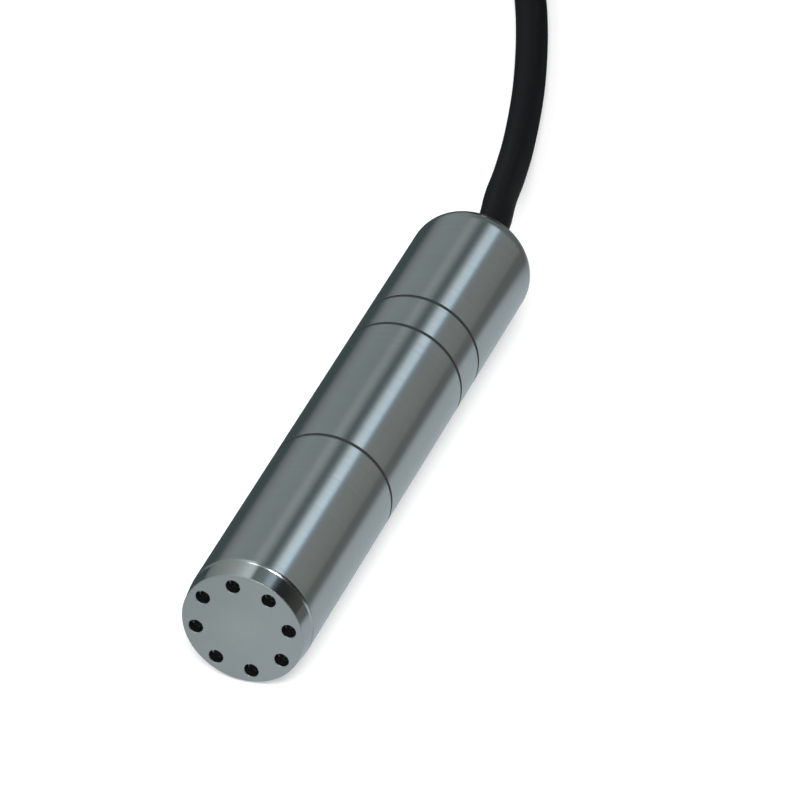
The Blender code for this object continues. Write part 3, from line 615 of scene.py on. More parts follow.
def cut(piece, cutters):
    """Cuts these shapes out of a piece. They are then removed."""
    for cutter in cutters:
        boolean = piece.modifiers.new(cutter.name, "BOOLEAN")
        boolean.object = cutter
        boolean.operation = "DIFFERENCE"
    piece.data = evaluated(piece)
    for cutter in cutters:
        bpy.data.objects.remove(cutter)
    soften(piece.data)


def drilled(piece, radius, circle, count, first_angle, depth):
    """Cuts a ring of through holes with a broken front edge."""
    wide = radius + HOLE_BREAK
    outline = [(0, depth), (radius, depth), (radius, HOLE_BREAK), (wide, 0), (wide, -depth), (0, -depth)]
    drills = []
    for i in range(count):
        middle = on_probe(circle, 0, first_angle + 2 * math.pi * i / count)

        def about_hole(across, station, angle, middle=middle):
            return middle + Vector((across * math.cos(angle), station, across * math.sin(angle)))

        drills.append(turned(f"drill_{i}", outline, HOLE_STEPS, closed=False, place=about_hole))
    cut(piece, drills)


nose_cap = turned("nose_cap_turned", cap_outline(), STEPS, closed=False)
drilled(nose_cap, HOLE_RADIUS, HOLE_CIRCLE, HOLE_COUNT, FIRST_HOLE_ANGLE, CAP_FACE_WALL + HOLE_RADIUS)
dress(nose_cap, "steel_face", "nose_cap", "nose_cap")
size_of(nose_cap)

# %% [markdown]
# ## The cap's screw thread
# A thread is a small section swept along a helix, which is what Geometry Nodes do well: a Spiral curve
# gives the path, Curve to Mesh sweeps a six-sided section along it, and the sizes are named inputs of the
# tree. The ridge sinks a little into the skirt, so that the two read as one.

# %% Sweep a thread on the skirt
THREAD_RELIEF = 0.0009
THREAD_RUN_OUT = 0.0006
THREAD_SINK = 0.00002


class Geometry(Tree):
    """A Geometry Nodes tree with named inputs."""

    def __init__(self, name, inputs):
        group = bpy.data.node_groups.new(name, "GeometryNodeTree")
        super().__init__(group)
        group.interface.new_socket("Geometry", in_out="OUTPUT", socket_type="NodeSocketGeometry")
        self.values = inputs
        self.identifiers = {}
        for title, value in inputs.items():
            kind = "NodeSocketInt" if isinstance(value, int) else "NodeSocketFloat"
            socket = group.interface.new_socket(title, in_out="INPUT", socket_type=kind)
            self.identifiers[title] = socket.identifier
        self.entry = self.make("NodeGroupInput")

    def value(self, title):
        return Wire(self, self.entry.outputs[title])

    def vector(self, x=0.0, y=0.0, z=0.0):
        return self.add("ShaderNodeCombineXYZ", None, {0: x, 1: y, 2: z})

    def swept_spiral(self, steps, turns, radius, height, thickness):
        """A round section of this thickness swept along a spiral that climbs along Z."""
        sockets = {"Resolution": steps, "Rotations": turns, "Start Radius": radius, "End Radius": radius}
        spiral = self.add("GeometryNodeCurveSpiral", None, {**sockets, "Height": height})
        section = self.add("GeometryNodeCurvePrimitiveCircle", None, {"Resolution": 6, "Radius": thickness})
        sockets = {"Curve": spiral, "Profile Curve": section, "Fill Caps": True}
        return self.add("GeometryNodeCurveToMesh", None, sockets)

    def moved(self, geometry, place, rotation):
        sockets = {0: geometry, "Translation": tuple(place), "Rotation": rotation}
        return self.add("GeometryNodeTransform", None, sockets)

    def finish(self, geometry, material):
        """Ends the tree and returns its result as a plain mesh object at the origin."""
        real = self.add("GeometryNodeRealizeInstances", None, {0: geometry})
        coated = self.add("GeometryNodeSetMaterial", None, {"Geometry": real, "Material": material})
        self.make("NodeGroupOutput", None, {0: coated})
        holder = add_object(self.nodes.name, bpy.data.meshes.new(self.nodes.name))
        modifier = holder.modifiers.new("shape", "NODES")
        modifier.node_group = self.nodes
        for title, value in self.values.items():
            modifier[self.identifiers[title]] = value
        shape = bmesh.new()
        shape.from_mesh(evaluated(holder))
        bmesh.ops.recalc_face_normals(shape, faces=shape.faces)
        shape.to_mesh(holder.data)
        shape.free()
        holder.data.materials.append(material)
        return holder


def screw_thread():
    start = CAP_LENGTH + THREAD_RELIEF
    sizes = {
        "Steps": 80,
        "Turns": 5.0,
        "Radius": CAP_BORE - GAP - THREAD_SINK,
        "Height": SKIRT_END - THREAD_RUN_OUT - start,
        "Ridge": 0.00024,
    }
    tree = Geometry("skirt_thread", sizes)
    ridge = tree.swept_spiral(*[tree.value(title) for title in sizes])
    along_probe = tree.moved(ridge, on_probe(0, start, 0), (-math.pi / 2, 0.0, 0.0))
    return tree.finish(along_probe, STEEL_FACE)


thread = screw_thread()
dress(thread, "steel_face", "nose_cap")
size_of(thread)

# %% [markdown]
# ## The clamp ring and the sensor's front
# With the cap off, a slotted ring can be seen that holds the sensor down, and inside it the thin pressed
# diaphragm that feels the liquid. Its waves let the foil move, and they follow a sine, so the outline is a
# formula and the turning function does the rest.

# %% Turn the sensor's front
RING_STEPS = 128
CLAMP_RANGE = (0.0109, 0.0137)
CLAMP_WINDOW = 0.0078
CLAMP_EDGE = 0.00015
CLAMP_SLOT_WIDTH = 0.0018
CLAMP_SLOT_DEPTH = 0.0012
WELD_RANGE = (0.0140, 0.0149)
WELD_EDGE = 0.0001
FOIL_START = 0.0152
FOIL_THICKNESS = 0.00025
FOIL_LAND = 0.0018
FOIL_WAVES = 3
FOIL_WAVE_HEIGHT = 0.00018
FOIL_SAMPLES = 72


def ring_outline(inside, outside, start, end, edge):
    """A flat ring with broken edges, as an outline."""
    corners = [(inside, end, 1, -1), (outside, end, -1, -1), (outside, start, -1, 1), (inside, start, 1, 1)]
    outline = []
    for i, (radius, station, inwards, along) in enumerate(corners):
        pair = [(radius, station + along * edge), (radius + inwards * edge, station)]
        outline += pair if i % 2 == 0 else pair[::-1]
    return outline


def foil_outline(radius):
    front = [(0.0, FOIL_START)]
    for i in range(FOIL_SAMPLES + 1):
        share = i / FOIL_SAMPLES
        wave = FOIL_WAVE_HEIGHT * math.sin(2 * math.pi * FOIL_WAVES * share)
        front.append((FOIL_LAND + (radius - 2 * FOIL_LAND) * share, FOIL_START + wave))
    front.append((radius, FOIL_START))
    back = [(across, station + FOIL_THICKNESS) for across, station in front]
    return back + front[::-1]


def block(size):
    """A box of this size about the origin, as a shape to work on."""
    shape = bmesh.new()
    bmesh.ops.create_cube(shape, size=1.0)
    bmesh.ops.scale(shape, vec=size, verts=shape.verts)
    return shape


def slotted(piece, width, depth, station, reach):
    """Cuts a cross of two slots into the front of a ring."""
    cutters = []
    for size in ((2 * reach, 2 * depth, width), (width, 2 * depth, 2 * reach)):
        shape = block(size)
        bmesh.ops.translate(shape, vec=on_probe(0, station, 0), verts=shape.verts)
        cutters.append(object_of("slot", shape))
    cut(piece, cutters)


clamp_outline = ring_outline(CLAMP_WINDOW, CAP_BORE - GAP, *CLAMP_RANGE, CLAMP_EDGE)
clamp = turned("clamp_ring_turned", clamp_outline, RING_STEPS)
slotted(clamp, CLAMP_SLOT_WIDTH, CLAMP_SLOT_DEPTH, CLAMP_RANGE[0], 2 * CAP_BORE)
dress(clamp, "sensor_steel", "housing", "clamp_ring")
weld_outline = ring_outline(CLAMP_WINDOW, SENSOR_BORE - GAP, *WELD_RANGE, WELD_EDGE)
weld = turned("weld_ring_turned", weld_outline, RING_STEPS)
dress(weld, "sensor_steel", "housing", "sensor_weld_ring")
foil_profile = foil_outline(SENSOR_BORE - GAP)
foil = turned("diaphragm_pressed", foil_profile, RING_STEPS, closed=False, smooth_degrees=60)
dress(foil, "sensor_steel", "housing", "sensor_diaphragm")
for piece in (clamp, weld, foil):
    size_of(piece)

# %% [markdown]
# ## The cable's route
# The cable is a fixed length of something stiff and springy. It leaves the probe straight, sinks to the
# surface under its own weight and runs off in a lazy curve. The rest of its five metres lies behind the
# picture's edge, folded in a long coil. A coil is best computed: each turn keeps its own radius and height
# for nine tenths of its way round. Over the last tenth all turns move to the next one's place together, and
# one that climbs swings out a little as it does, so that no two of them meet.

# %% Lay the route
CABLE_EXIT = (0.0, 0.066, 0.013)
CABLE_ROUTE = (
    (0.0, 0.072, 0.013),
    (-0.0006, 0.078, 0.0128),
    (-0.0016, 0.084, 0.0121),
    (-0.0031, 0.090, 0.0109),
    (-0.0046, 0.0965, 0.0093),
    (-0.0063, 0.105, 0.0072),
    (-0.0080, 0.113, 0.0055),
    (-0.0098, 0.1215, 0.0043),
    (-0.0123, 0.1325, 0.0038),
    (-0.0153, 0.1444, 0.0037),
    (-0.0187, 0.1559, 0.0037),
    (-0.0225, 0.1674, 0.0037),
    (-0.0268, 0.1788, 0.0038),
    (-0.0319, 0.1902, 0.0041),
    (-0.0370, 0.2016, 0.0045),
)
COIL_ENTRY = (-0.0528, 0.2371)
COIL_HEADING = math.radians(24)
COIL_OUTER_TURN = 0.0315
COIL_STRAIGHT = 0.1045
COIL_PITCH = 0.0071
COIL_ROWS = 4
COIL_COLUMNS = 3
COIL_FLOOR = 0.0015
TURN_POINTS = 112
STEP_SHARE = 0.1
CLIMB_SWING = 0.45
COIL_CENTRE = (
    COIL_ENTRY[0] + COIL_OUTER_TURN * math.cos(COIL_HEADING),
    COIL_ENTRY[1] + COIL_OUTER_TURN * math.sin(COIL_HEADING),
)
COIL_LOW_ROW = COIL_FLOOR + COIL_PITCH / 2
COIL_SHELF = COIL_FLOOR + COIL_ROWS * COIL_PITCH
SLEEVE_RADIUS = 0.0042
TAIL_RADIUS = COIL_OUTER_TURN - COIL_PITCH / 2 - GAP - CABLE_RADIUS
TAIL_HEIGHT = COIL_SHELF + GAP + SLEEVE_RADIUS


def lap(radius):
    """How long one turn of this radius is."""
    return 2 * (COIL_STRAIGHT + math.pi * radius)


def in_coil(radius, travelled, height):
    """A place on a turn of this radius, this far round it clockwise from where the cable comes in."""
    half = math.pi * radius
    gone = (travelled - COIL_HEADING * radius) % lap(radius)
    if gone < COIL_STRAIGHT:
        across, along = -radius, gone
    elif gone < COIL_STRAIGHT + half:
        angle = math.pi - (gone - COIL_STRAIGHT) / radius
        across, along = radius * math.cos(angle), COIL_STRAIGHT + radius * math.sin(angle)
    elif gone < lap(radius) - half:
        across, along = radius, lap(radius) - half - gone
    else:
        angle = (lap(radius) - half - gone) / radius
        across, along = radius * math.cos(angle), radius * math.sin(angle)
    return Vector((COIL_CENTRE[0] + across, COIL_CENTRE[1] + along, height))


def eased(share):
    """0 to 1 with a soft start and end."""
    share = min(1.0, max(0.0, share))
    return share * share * (3 - 2 * share)


def turns_of_coil():
    """(radius, height) of each turn, in the order in which it is wound."""
    turns = []
    for row in range(COIL_ROWS):
        columns = range(COIL_COLUMNS)
        for column in columns if row % 2 == 0 else reversed(columns):
            turns.append((COIL_OUTER_TURN - column * COIL_PITCH, COIL_LOW_ROW + row * COIL_PITCH))
    turns.append((COIL_OUTER_TURN, COIL_LOW_ROW + COIL_ROWS * COIL_PITCH))
    return turns


def coil_points():
    """The coil from its entry, clockwise. Each turn moves to the next one's place over its last part."""
    turns = [*turns_of_coil(), (TAIL_RADIUS, TAIL_HEIGHT)]
    points = []
    for (radius, level), (next_radius, next_level) in zip(turns, turns[1:]):
        swing = CLIMB_SWING * COIL_PITCH if radius == next_radius else 0
        outwards = 1 if radius == COIL_OUTER_TURN else -1
        for k in range(TURN_POINTS):
            share = k / TURN_POINTS
            moved = eased((share - 1 + STEP_SHARE) / STEP_SHARE)
            here = radius + (next_radius - radius) * moved + outwards * swing * 4 * moved * (1 - moved)
            points.append(in_coil(here, share * lap(here), level + (next_level - level) * moved))
    return points


def smooth_route(points, spacing, samples=12):
    """Points a spacing apart on a smooth curve through the given ones (a Catmull-Rom spline)."""
    given = [Vector(point) for point in points]
    given = [2 * given[0] - given[1], *given, 2 * given[-1] - given[-2]]
    fine = []
    for a, b, c, d in zip(given, given[1:], given[2:], given[3:]):
        for i in range(samples):
            t = i / samples
            bend = (2 * a - 5 * b + 4 * c - d) * t**2 + (3 * b - a - 3 * c + d) * t**3
            fine.append(0.5 * (2 * b + (c - a) * t + bend))
    fine.append(given[-2])
    lengths = [0.0]
    for a, b in zip(fine, fine[1:]):
        lengths.append(lengths[-1] + (b - a).length)
    count = max(2, round(lengths[-1] / spacing))
    route = []
    i = 0
    for k in range(count + 1):
        wanted = lengths[-1] * k / count
        while i < len(fine) - 2 and lengths[i + 1] < wanted:
            i += 1
        route.append(fine[i].lerp(fine[i + 1], (wanted - lengths[i]) / (lengths[i + 1] - lengths[i])))
    return route


print("coil:", len(turns_of_coil()), "turns")

# %% [markdown]
# ## The cable's far end
# After the last turn the cable lies on the coil, and a sleeve closes the jacket where its cores come out.
# These few values are the ones that the solids were laid out with.

# %% Lay the far end and make the cable
CABLE_SPACING = 0.003
CABLE_SIDES = 20
TAIL_RUN = 0.054
TAIL_BENDS = 8
TAIL_DRIFT = 0.0012
TAIL_STRAIGHT = 0.010
SLEEVE_LENGTH = 0.020
SLEEVE_GRIP = 0.0075


def tail_points():
    """The bend on top of the coil, and the direction in which the cable ends."""
    bend = []
    for i in range(TAIL_BENDS + 1):
        share = i / TAIL_BENDS
        bend.append(in_coil(TAIL_RADIUS - TAIL_DRIFT * share**1.5, TAIL_RUN * share, TAIL_HEIGHT))
    return bend, (bend[-1] - bend[-2]).normalized()


def round_curve(name, points, radius, sides):
    """A round cable or wire along these points, as one open curve with closed ends."""
    curve = bpy.data.curves.new(name, "CURVE")
    curve.dimensions = "3D"
    curve.bevel_depth = radius
    curve.bevel_resolution = sides // 2 - 2
    curve.use_fill_caps = True
    spline = curve.splines.new("POLY")
    spline.points.add(len(points) - 1)
    for point, place in zip(spline.points, points):
        point.co = (*place, 1.0)
    spline.use_smooth = True
    return add_object(name, curve)


tail, tail_ahead = tail_points()
tail_end = tail[-1] + tail_ahead * TAIL_STRAIGHT
run_in = smooth_route([CABLE_EXIT, *CABLE_ROUTE, (*COIL_ENTRY, COIL_LOW_ROW)], CABLE_SPACING)
run_out = smooth_route([*tail, tail[-1] + tail_ahead * TAIL_STRAIGHT / 3, tail_end], CABLE_SPACING)
cable_points = [*run_in[:-1], *coil_points(), *run_out]
cable = round_curve("cable_run", cable_points, CABLE_RADIUS, CABLE_SIDES)
dress(cable, "cable_jacket", "housing", "cable", "cable_coil", "cable_tail")
cable_length = sum((b - a).length for a, b in zip(cable_points, cable_points[1:]))
print(f"cable: {cable_length:.3f} m in {len(cable_points)} points")

# %% [markdown]
# ## The sleeve and the cores
# A shrunk sleeve is a turned shape on its own line, so the turning function gets another way to place a
# point. The cores fan out from it and come down to rest on the coil, each stripped for its last few
# millimetres. The vent tube is only cut off, since air has to pass through it.

# %% Make the sleeve
SLEEVE_TAPER = (0.010, 0.016)
SLEEVE_TAPER_STEPS = 16
SLEEVE_TIP_RADIUS = 0.0031
SLEEVE_EDGE = 0.0003
SLEEVE_CLEAR = 0.0001
SLEEVE_STEPS = 48
CORE_BORE = 0.0026
sleeve_start = tail_end - tail_ahead * (SLEEVE_GRIP - GAP)
sleeve_up = Vector((0, 0, 1))
sleeve_side = tail_ahead.cross(sleeve_up)


def about_sleeve(radius, station, angle):
    out = sleeve_side * math.cos(angle) + sleeve_up * math.sin(angle)
    return sleeve_start + tail_ahead * station + out * radius


def sleeve_outline():
    edge, grip = SLEEVE_EDGE, CABLE_RADIUS + SLEEVE_CLEAR
    outline = [(CORE_BORE, SLEEVE_LENGTH)]
    outline += arc((SLEEVE_TIP_RADIUS - edge, SLEEVE_LENGTH - edge), edge, 90, 0, 4)
    for i in range(SLEEVE_TAPER_STEPS + 1):
        share = i / SLEEVE_TAPER_STEPS
        station = SLEEVE_TAPER[1] + (SLEEVE_TAPER[0] - SLEEVE_TAPER[1]) * share
        outline.append((SLEEVE_TIP_RADIUS + (SLEEVE_RADIUS - SLEEVE_TIP_RADIUS) * eased(share), station))
    outline += arc((SLEEVE_RADIUS - edge, edge), edge, 0, -90, 4)
    outline += [(grip, 0), (grip, SLEEVE_GRIP), (CORE_BORE, SLEEVE_GRIP)]
    return outline


sleeve = turned("shrunk_sleeve", sleeve_outline(), SLEEVE_STEPS, place=about_sleeve, smooth_degrees=40)
dress(sleeve, "seal_rubber", "housing", "end_sleeve")
size_of(sleeve)

# %% Lay the cores
CORES = (
    ("red", 0.0009, -0.00125, 0.00075, "red_insulation"),
    ("green", 0.0009, 0.00125, 0.00075, "green_insulation"),
    ("capillary", 0.00075, -0.00085, -0.0012, "vent_nylon"),
    ("drain", 0.00055, 0.00115, -0.0012, "tinned_copper"),
)
CORE_SPACING = 0.0008
CORE_SIDES = 12
LEAD_STRAIGHT = 0.001
LEAD_LENGTH = 0.026
LEAD_BENDS = 6
LEAD_DROP_START = 0.2
LEAD_SPACING = 0.0026
BARE_LENGTH = 0.006


def core_route(rank, radius, across, above):
    """A core from inside the sleeve, out of its mouth and down into its own lane on the coil."""
    inside = sleeve_start + tail_ahead * (SLEEVE_GRIP + GAP) + sleeve_side * across + sleeve_up * above
    mouth = inside + tail_ahead * (SLEEVE_LENGTH + LEAD_STRAIGHT - SLEEVE_GRIP - GAP)
    fall = COIL_SHELF + GAP + radius - mouth.z
    lane = (rank - (len(CORES) - 1) / 2) * LEAD_SPACING
    route = [inside, mouth]
    for i in range(1, LEAD_BENDS + 1):
        share = i / LEAD_BENDS
        fallen = fall * eased((share - LEAD_DROP_START) / (1 - LEAD_DROP_START))
        spread = (lane - across) * min(1.0, 2 * share)
        route.append(mouth + tail_ahead * LEAD_LENGTH * share + sleeve_side * spread + sleeve_up * fallen)
    return smooth_route(route, CORE_SPACING)


# %% [markdown]
# ## Twisted strands
# A stripped core shows strands twisted like a rope. One strand is a short spiral swept with a round
# section. Geometry Nodes set copies of it round a ring, each turned by its share of a full turn. The bundle
# starts a little inside the insulation, so that no gap shows between the two.

# %% Twist the strands
BUNDLE_SHARE = 0.7
STRAND_RING = 0.62
STRAND_THICKNESS = 0.36
STRAND_POINTS = 24
STRAND_SINK = 0.0005


def twisted_strands(name, start, ahead, radius):
    """A bundle of this radius whose strands go round once, from a place along a direction."""
    sizes = {"Strands": 6, "Length": BARE_LENGTH}
    sizes |= {"Bundle": STRAND_RING * radius, "Strand": STRAND_THICKNESS * radius}
    tree = Geometry(name, sizes)
    strands, length, ring, thickness = [tree.value(title) for title in sizes]
    strand = tree.swept_spiral(STRAND_POINTS, 1.0, ring, length, thickness)
    points = tree.add("GeometryNodePoints", None, {"Count": strands})
    share = tree.add("GeometryNodeInputIndex") * (2 * math.pi) / strands
    sockets = {"Points": points, "Instance": strand, "Rotation": tree.vector(z=share)}
    copies = tree.add("GeometryNodeInstanceOnPoints", None, sockets)
    turn = ahead.to_track_quat("Z", "Y").to_euler()
    made = tree.finish(tree.moved(copies, start, turn), FINISHES["tinned_copper"])
    made.data.shade_smooth()
    return made


for rank, (name, radius, across, above, finish) in enumerate(sorted(CORES, key=lambda core: core[2])):
    route = core_route(rank, radius, across, above)
    bare = 0 if name in ("capillary", "drain") else round(BARE_LENGTH / CORE_SPACING)
    covered = route[: len(route) - bare]
    core = round_curve(f"core_{name}", covered, radius, CORE_SIDES)
    dress(core, finish, "housing", f"end_{name}")
    if bare:
        ahead = (route[-1] - route[-2]).normalized()
        start = covered[-1] - ahead * STRAND_SINK
        strands = twisted_strands(f"strands_{name}", start, ahead, BUNDLE_SHARE * radius)
        dress(strands, "tinned_copper", "housing")

# %% [markdown]
# ## The nylon ties
# Three ties hold the coil, one at each end and one half way. A tie's strap hugs the outermost turns, so its
# line is the outline of those turns pushed outwards: straight runs joined by arcs about the middles of the
# corner turns. Small teeth stand on the trimmed end that sticks out of the head, and Geometry Nodes repeat
# them.

# %% Wrap the ties
TIE_PLACES = ((0.0, math.radians(270)), (0.5, 0.0), (1.0, math.radians(90)))
TIE_THICKNESS = 0.0012
TIE_WIDTH = 0.0036
TIE_HEAD = (0.0046, 0.0052, 0.0062)
TIE_CLEAR = 0.00015
CORNER_STEPS = 8
STRAP_EDGE = 0.00025
HEAD_EDGE = 0.0005
HEAD_SINK = 0.0006
STUB_LENGTH = 0.0045
STUB_EDGE = 0.0002
STUB_BACK = 0.0016
STUB_SINK = 0.0004
LADDER_START = 0.0006
LADDER = {"Teeth": 5, "Spacing": 0.0007, "Width": 0.6 * TIE_WIDTH, "Height": 0.00035}


def strap_line():
    """Points of the strap's inner face and their outward directions, in the coil's section."""
    inner = COIL_OUTER_TURN - (COIL_COLUMNS - 1) * COIL_PITCH
    top = COIL_LOW_ROW + COIL_ROWS * COIL_PITCH
    corners = [
        (COIL_OUTER_TURN, top),
        (COIL_OUTER_TURN, COIL_LOW_ROW),
        (inner, COIL_LOW_ROW),
        (inner, top - COIL_PITCH),
    ]
    line = []
    for i, corner in enumerate(corners):
        before = Vector(corner) - Vector(corners[i - 1])
        after = Vector(corners[(i + 1) % len(corners)]) - Vector(corner)
        start = math.atan2(before.x, -before.y)
        sweep = (math.atan2(after.x, -after.y) - start) % (2 * math.pi) - 2 * math.pi
        for k in range(CORNER_STEPS + 1):
            angle = start + sweep * k / CORNER_STEPS
            out = Vector((math.cos(angle), math.sin(angle)))
            line.append((Vector(corner) + out * (CABLE_RADIUS + TIE_CLEAR), out))
    return line


def tie_place(tie_at, section_point, sideways):
    """From the coil's section and a distance sideways to a place at this tie."""
    share, angle = tie_at
    out = Vector((math.cos(angle), math.sin(angle), 0))
    side = Vector((-math.sin(angle), math.cos(angle), 0))
    flat = Vector((COIL_CENTRE[0], COIL_CENTRE[1] + share * COIL_STRAIGHT, section_point[1]))
    return flat + out * section_point[0] + side * sideways


def wrapped_strap(name, tie_at):
    """A closed band round the coil, with the edges of its outer face broken."""
    shape = bmesh.new()
    half, thick, edge = TIE_WIDTH / 2, TIE_THICKNESS, STRAP_EDGE
    section = [(-half, 0), (half, 0), (half, thick - edge), (half - edge, thick)]
    section += [(edge - half, thick), (-half, thick - edge)]
    rings = []
    for point, out in strap_line():
        rings.append([shape.verts.new(tie_place(tie_at, point + out * lift, side)) for side, lift in section])
    join_rings(shape, rings)
    return object_of(name, shape, 50)


def tie_block(name, tie_at, size, middle, edge):
    """A box in the coil's section, (out, up, sideways) in size, with its edges rounded."""
    shape = block((size[0], size[2], size[1]))
    bmesh.ops.bevel(shape, geom=shape.edges[:], offset=edge, segments=3, affect="EDGES", profile=0.5)
    bmesh.ops.rotate(shape, matrix=Matrix.Rotation(tie_at[1], 3, "Z"), verts=shape.verts)
    bmesh.ops.translate(shape, vec=tie_place(tie_at, middle, 0), verts=shape.verts)
    return object_of(name, shape, 40)


def ladder(name, tie_at, foot):
    """Teeth up the stub of a tie."""
    tree = Geometry(name, LADDER)
    teeth, spacing, width, height = [tree.value(title) for title in LADDER]
    sockets = {"Count": teeth, "Start Location": tuple(foot), "Offset": tree.vector(z=spacing)}
    line = tree.add("GeometryNodeMeshLine", None, sockets)
    size = tree.vector(height, width, spacing * 0.5)
    tooth = tree.add("GeometryNodeMeshCube", None, {"Size": size})
    sockets = {"Points": line, "Instance": tooth, "Rotation": (0.0, 0.0, tie_at[1])}
    copies = tree.add("GeometryNodeInstanceOnPoints", None, sockets)
    return tree.finish(copies, FINISHES["tie_nylon"])


def joined(pieces, name):
    """Several meshes of one tie as one piece."""
    shape = bmesh.new()
    for piece in pieces:
        shape.from_mesh(piece.data)
        bpy.data.objects.remove(piece)
    return object_of(name, shape, 40)


strap_inside = (
    COIL_OUTER_TURN - (COIL_COLUMNS - 1) * COIL_PITCH - CABLE_RADIUS - TIE_CLEAR - TIE_THICKNESS
)
for number, tie_at in enumerate(TIE_PLACES, start=1):
    head_middle = (strap_inside - TIE_HEAD[0] / 2 + HEAD_SINK, COIL_SHELF / 2)
    head_top = head_middle[1] + TIE_HEAD[1] / 2
    stub_size = (TIE_THICKNESS, STUB_LENGTH, TIE_WIDTH)
    stub_middle = (strap_inside - STUB_BACK, head_top + STUB_LENGTH / 2 - STUB_SINK)
    foot = tie_place(tie_at, (stub_middle[0] - TIE_THICKNESS / 2, head_top + LADDER_START), 0)
    parts = [
        wrapped_strap("strap", tie_at),
        tie_block("head", tie_at, TIE_HEAD, head_middle, HEAD_EDGE),
        tie_block("stub", tie_at, stub_size, stub_middle, STUB_EDGE),
        ladder("ladder", tie_at, foot),
    ]
    tie = joined(parts, f"nylon_tie_{number}")
    dress(tie, "tie_nylon", "housing", f"coil_tie_{number}")
    size_of(tie)

# %% [markdown]
# ## The parts inside
# The sensor, the board, the gland and the cores between them keep the solids' own shapes, because nothing
# shows through the steel. They still get true finishes, so that a view with the housing hidden reads well.

# %% Paint the solids that stay
painted = 0
for entry in frame["record"]["subparts"]:
    node = frame["nodes"][entry["node"]]
    if not node.hide_render:
        node.data.materials.clear()
        node.data.materials.append(FINISHES[entry["material_slot"]])
        painted += 1
print("solids that stay:", painted)

# %% [markdown]
# ## The floor
# The floor is pale paper. The camera sees it nearly white, with the probe's own soft shadow. What polished
# steel mirrors is another matter: a real table gets darker away from the lamp, and that is what draws the
# steel's shape. So the paper glows for glossy rays alone with a painted pool of light, in front of the nose
# and to the right of the probe. The painted paper dies away to grey beyond it and is painted dark on the
# left.

# %% Lay the floor
FLOOR_HALF = 4.0
FLOOR_DROP = 0.0001
PAPER_WHITE = 0.80
PAPER_LIFT = 0.32
POOL_LEFT = (-0.013, 0.003)
POOL_RIGHT = (0.040, 0.075)
POOL_BACK = (0.075, 0.125)
AHEAD_OF = (-0.072, -0.067)
AHEAD_SPREAD = (-0.05, 0.04)


def paper_floor():
    finish = Finish("paper_floor")
    across, along, up = finish.split(finish.place)
    # Painted light for glossy rays: a painted pool of light ahead of the nose and right of the probe, painted
    # grey far off and painted dark on the left.
    right = finish.ramp(across, *POOL_LEFT)
    beside = right * (1 - finish.ramp(across, *POOL_RIGHT)) * (1 - finish.ramp(along, *POOL_BACK))
    ahead = 1 - finish.ramp(along, *AHEAD_OF)
    painted_dark_far_off = finish.mix(right, (0.060, 0.085, 0.088), (0.150, 0.160, 0.154))
    painted_light_ahead = finish.mix(finish.ramp(across, *AHEAD_SPREAD), (0.44, 0.46, 0.46), (0.57, 0.61, 0.625))
    painted_pool_seen_in_steel = finish.mix(ahead, finish.mix(beside, painted_dark_far_off, (0.45, 0.51, 0.54)), painted_light_ahead)
    glossy = finish.add("ShaderNodeLightPath", output="Is Glossy Ray")
    paper = finish.add("ShaderNodeBsdfDiffuse", None, {"Color": with_alpha((PAPER_WHITE,) * 3)})
    lift = finish.add("ShaderNodeEmission", None, {"Color": (1, 1, 1, 1), "Strength": PAPER_LIFT})
    lit = finish.add("ShaderNodeAddShader", None, {0: paper, 1: lift})
    mirrored = finish.add("ShaderNodeEmission", None, {"Color": painted_pool_seen_in_steel, "Strength": 1.0})
    both = finish.add("ShaderNodeMixShader", None, {0: glossy, 1: lit, 2: mirrored})
    output = finish.nodes.nodes["Material Output"]
    finish.nodes.links.new(both.socket, output.inputs["Surface"])
    return finish.material


floor_shape = bmesh.new()
bmesh.ops.create_grid(floor_shape, x_segments=1, y_segments=1, size=FLOOR_HALF)
floor_mesh = bpy.data.meshes.new("floor")
floor_shape.to_mesh(floor_mesh)
floor_shape.free()
floor_mesh.materials.append(paper_floor())
floor = add_object("floor", floor_mesh)
floor.location.z = -FLOOR_DROP
print(f"floor: {2 * FLOOR_HALF:.0f} m wide")

# %% [markdown]
# ## The room that steel mirrors
# A cylinder seen from one side mirrors a ring of directions about its own axis. Strip lights and dark flags
# that run along the probe therefore show as long straight bands, and their angle about the axis sets where
# each band falls. The world paints them as a ramp on that angle, for glossy rays alone. Strip lights end
# somewhere too: towards the far end of the room one ramp holds, which the tube mirrors to the camera, and
# nearer than that another, with more dark in it, which the tapered rim of the cap mirrors. A plain grey wall
# closes the room, and only the round shoulder mirrors it. Everything matt gets an even light, and the camera
# sees white.

# %% Paint the room
FAR_BANDS = (
    (0.0, (0.235, 0.248, 0.239)),
    (17.0, (0.270, 0.286, 0.276)),
    (30.0, (0.295, 0.311, 0.302)),
    (46.0, (0.295, 0.312, 0.312)),
    (53.0, (0.28, 0.36, 0.42)),
    (56.0, (0.92, 1.16, 1.38)),
    (60.0, (0.96, 1.13, 1.26)),
    (70.0, (0.87, 0.99, 1.06)),
    (75.0, (0.40, 0.47, 0.50)),
    (80.0, (0.13, 0.16, 0.17)),
    (88.0, (0.095, 0.118, 0.124)),
    (95.0, (0.28, 0.33, 0.33)),
    (103.0, (0.40, 0.45, 0.45)),
    (109.0, (0.38, 0.42, 0.42)),
    (114.0, (0.27, 0.31, 0.315)),
    (132.0, (0.29, 0.33, 0.34)),
    (150.0, (0.30, 0.345, 0.36)),
    (165.0, (0.27, 0.295, 0.305)),
    (180.0, (0.165, 0.18, 0.185)),
)
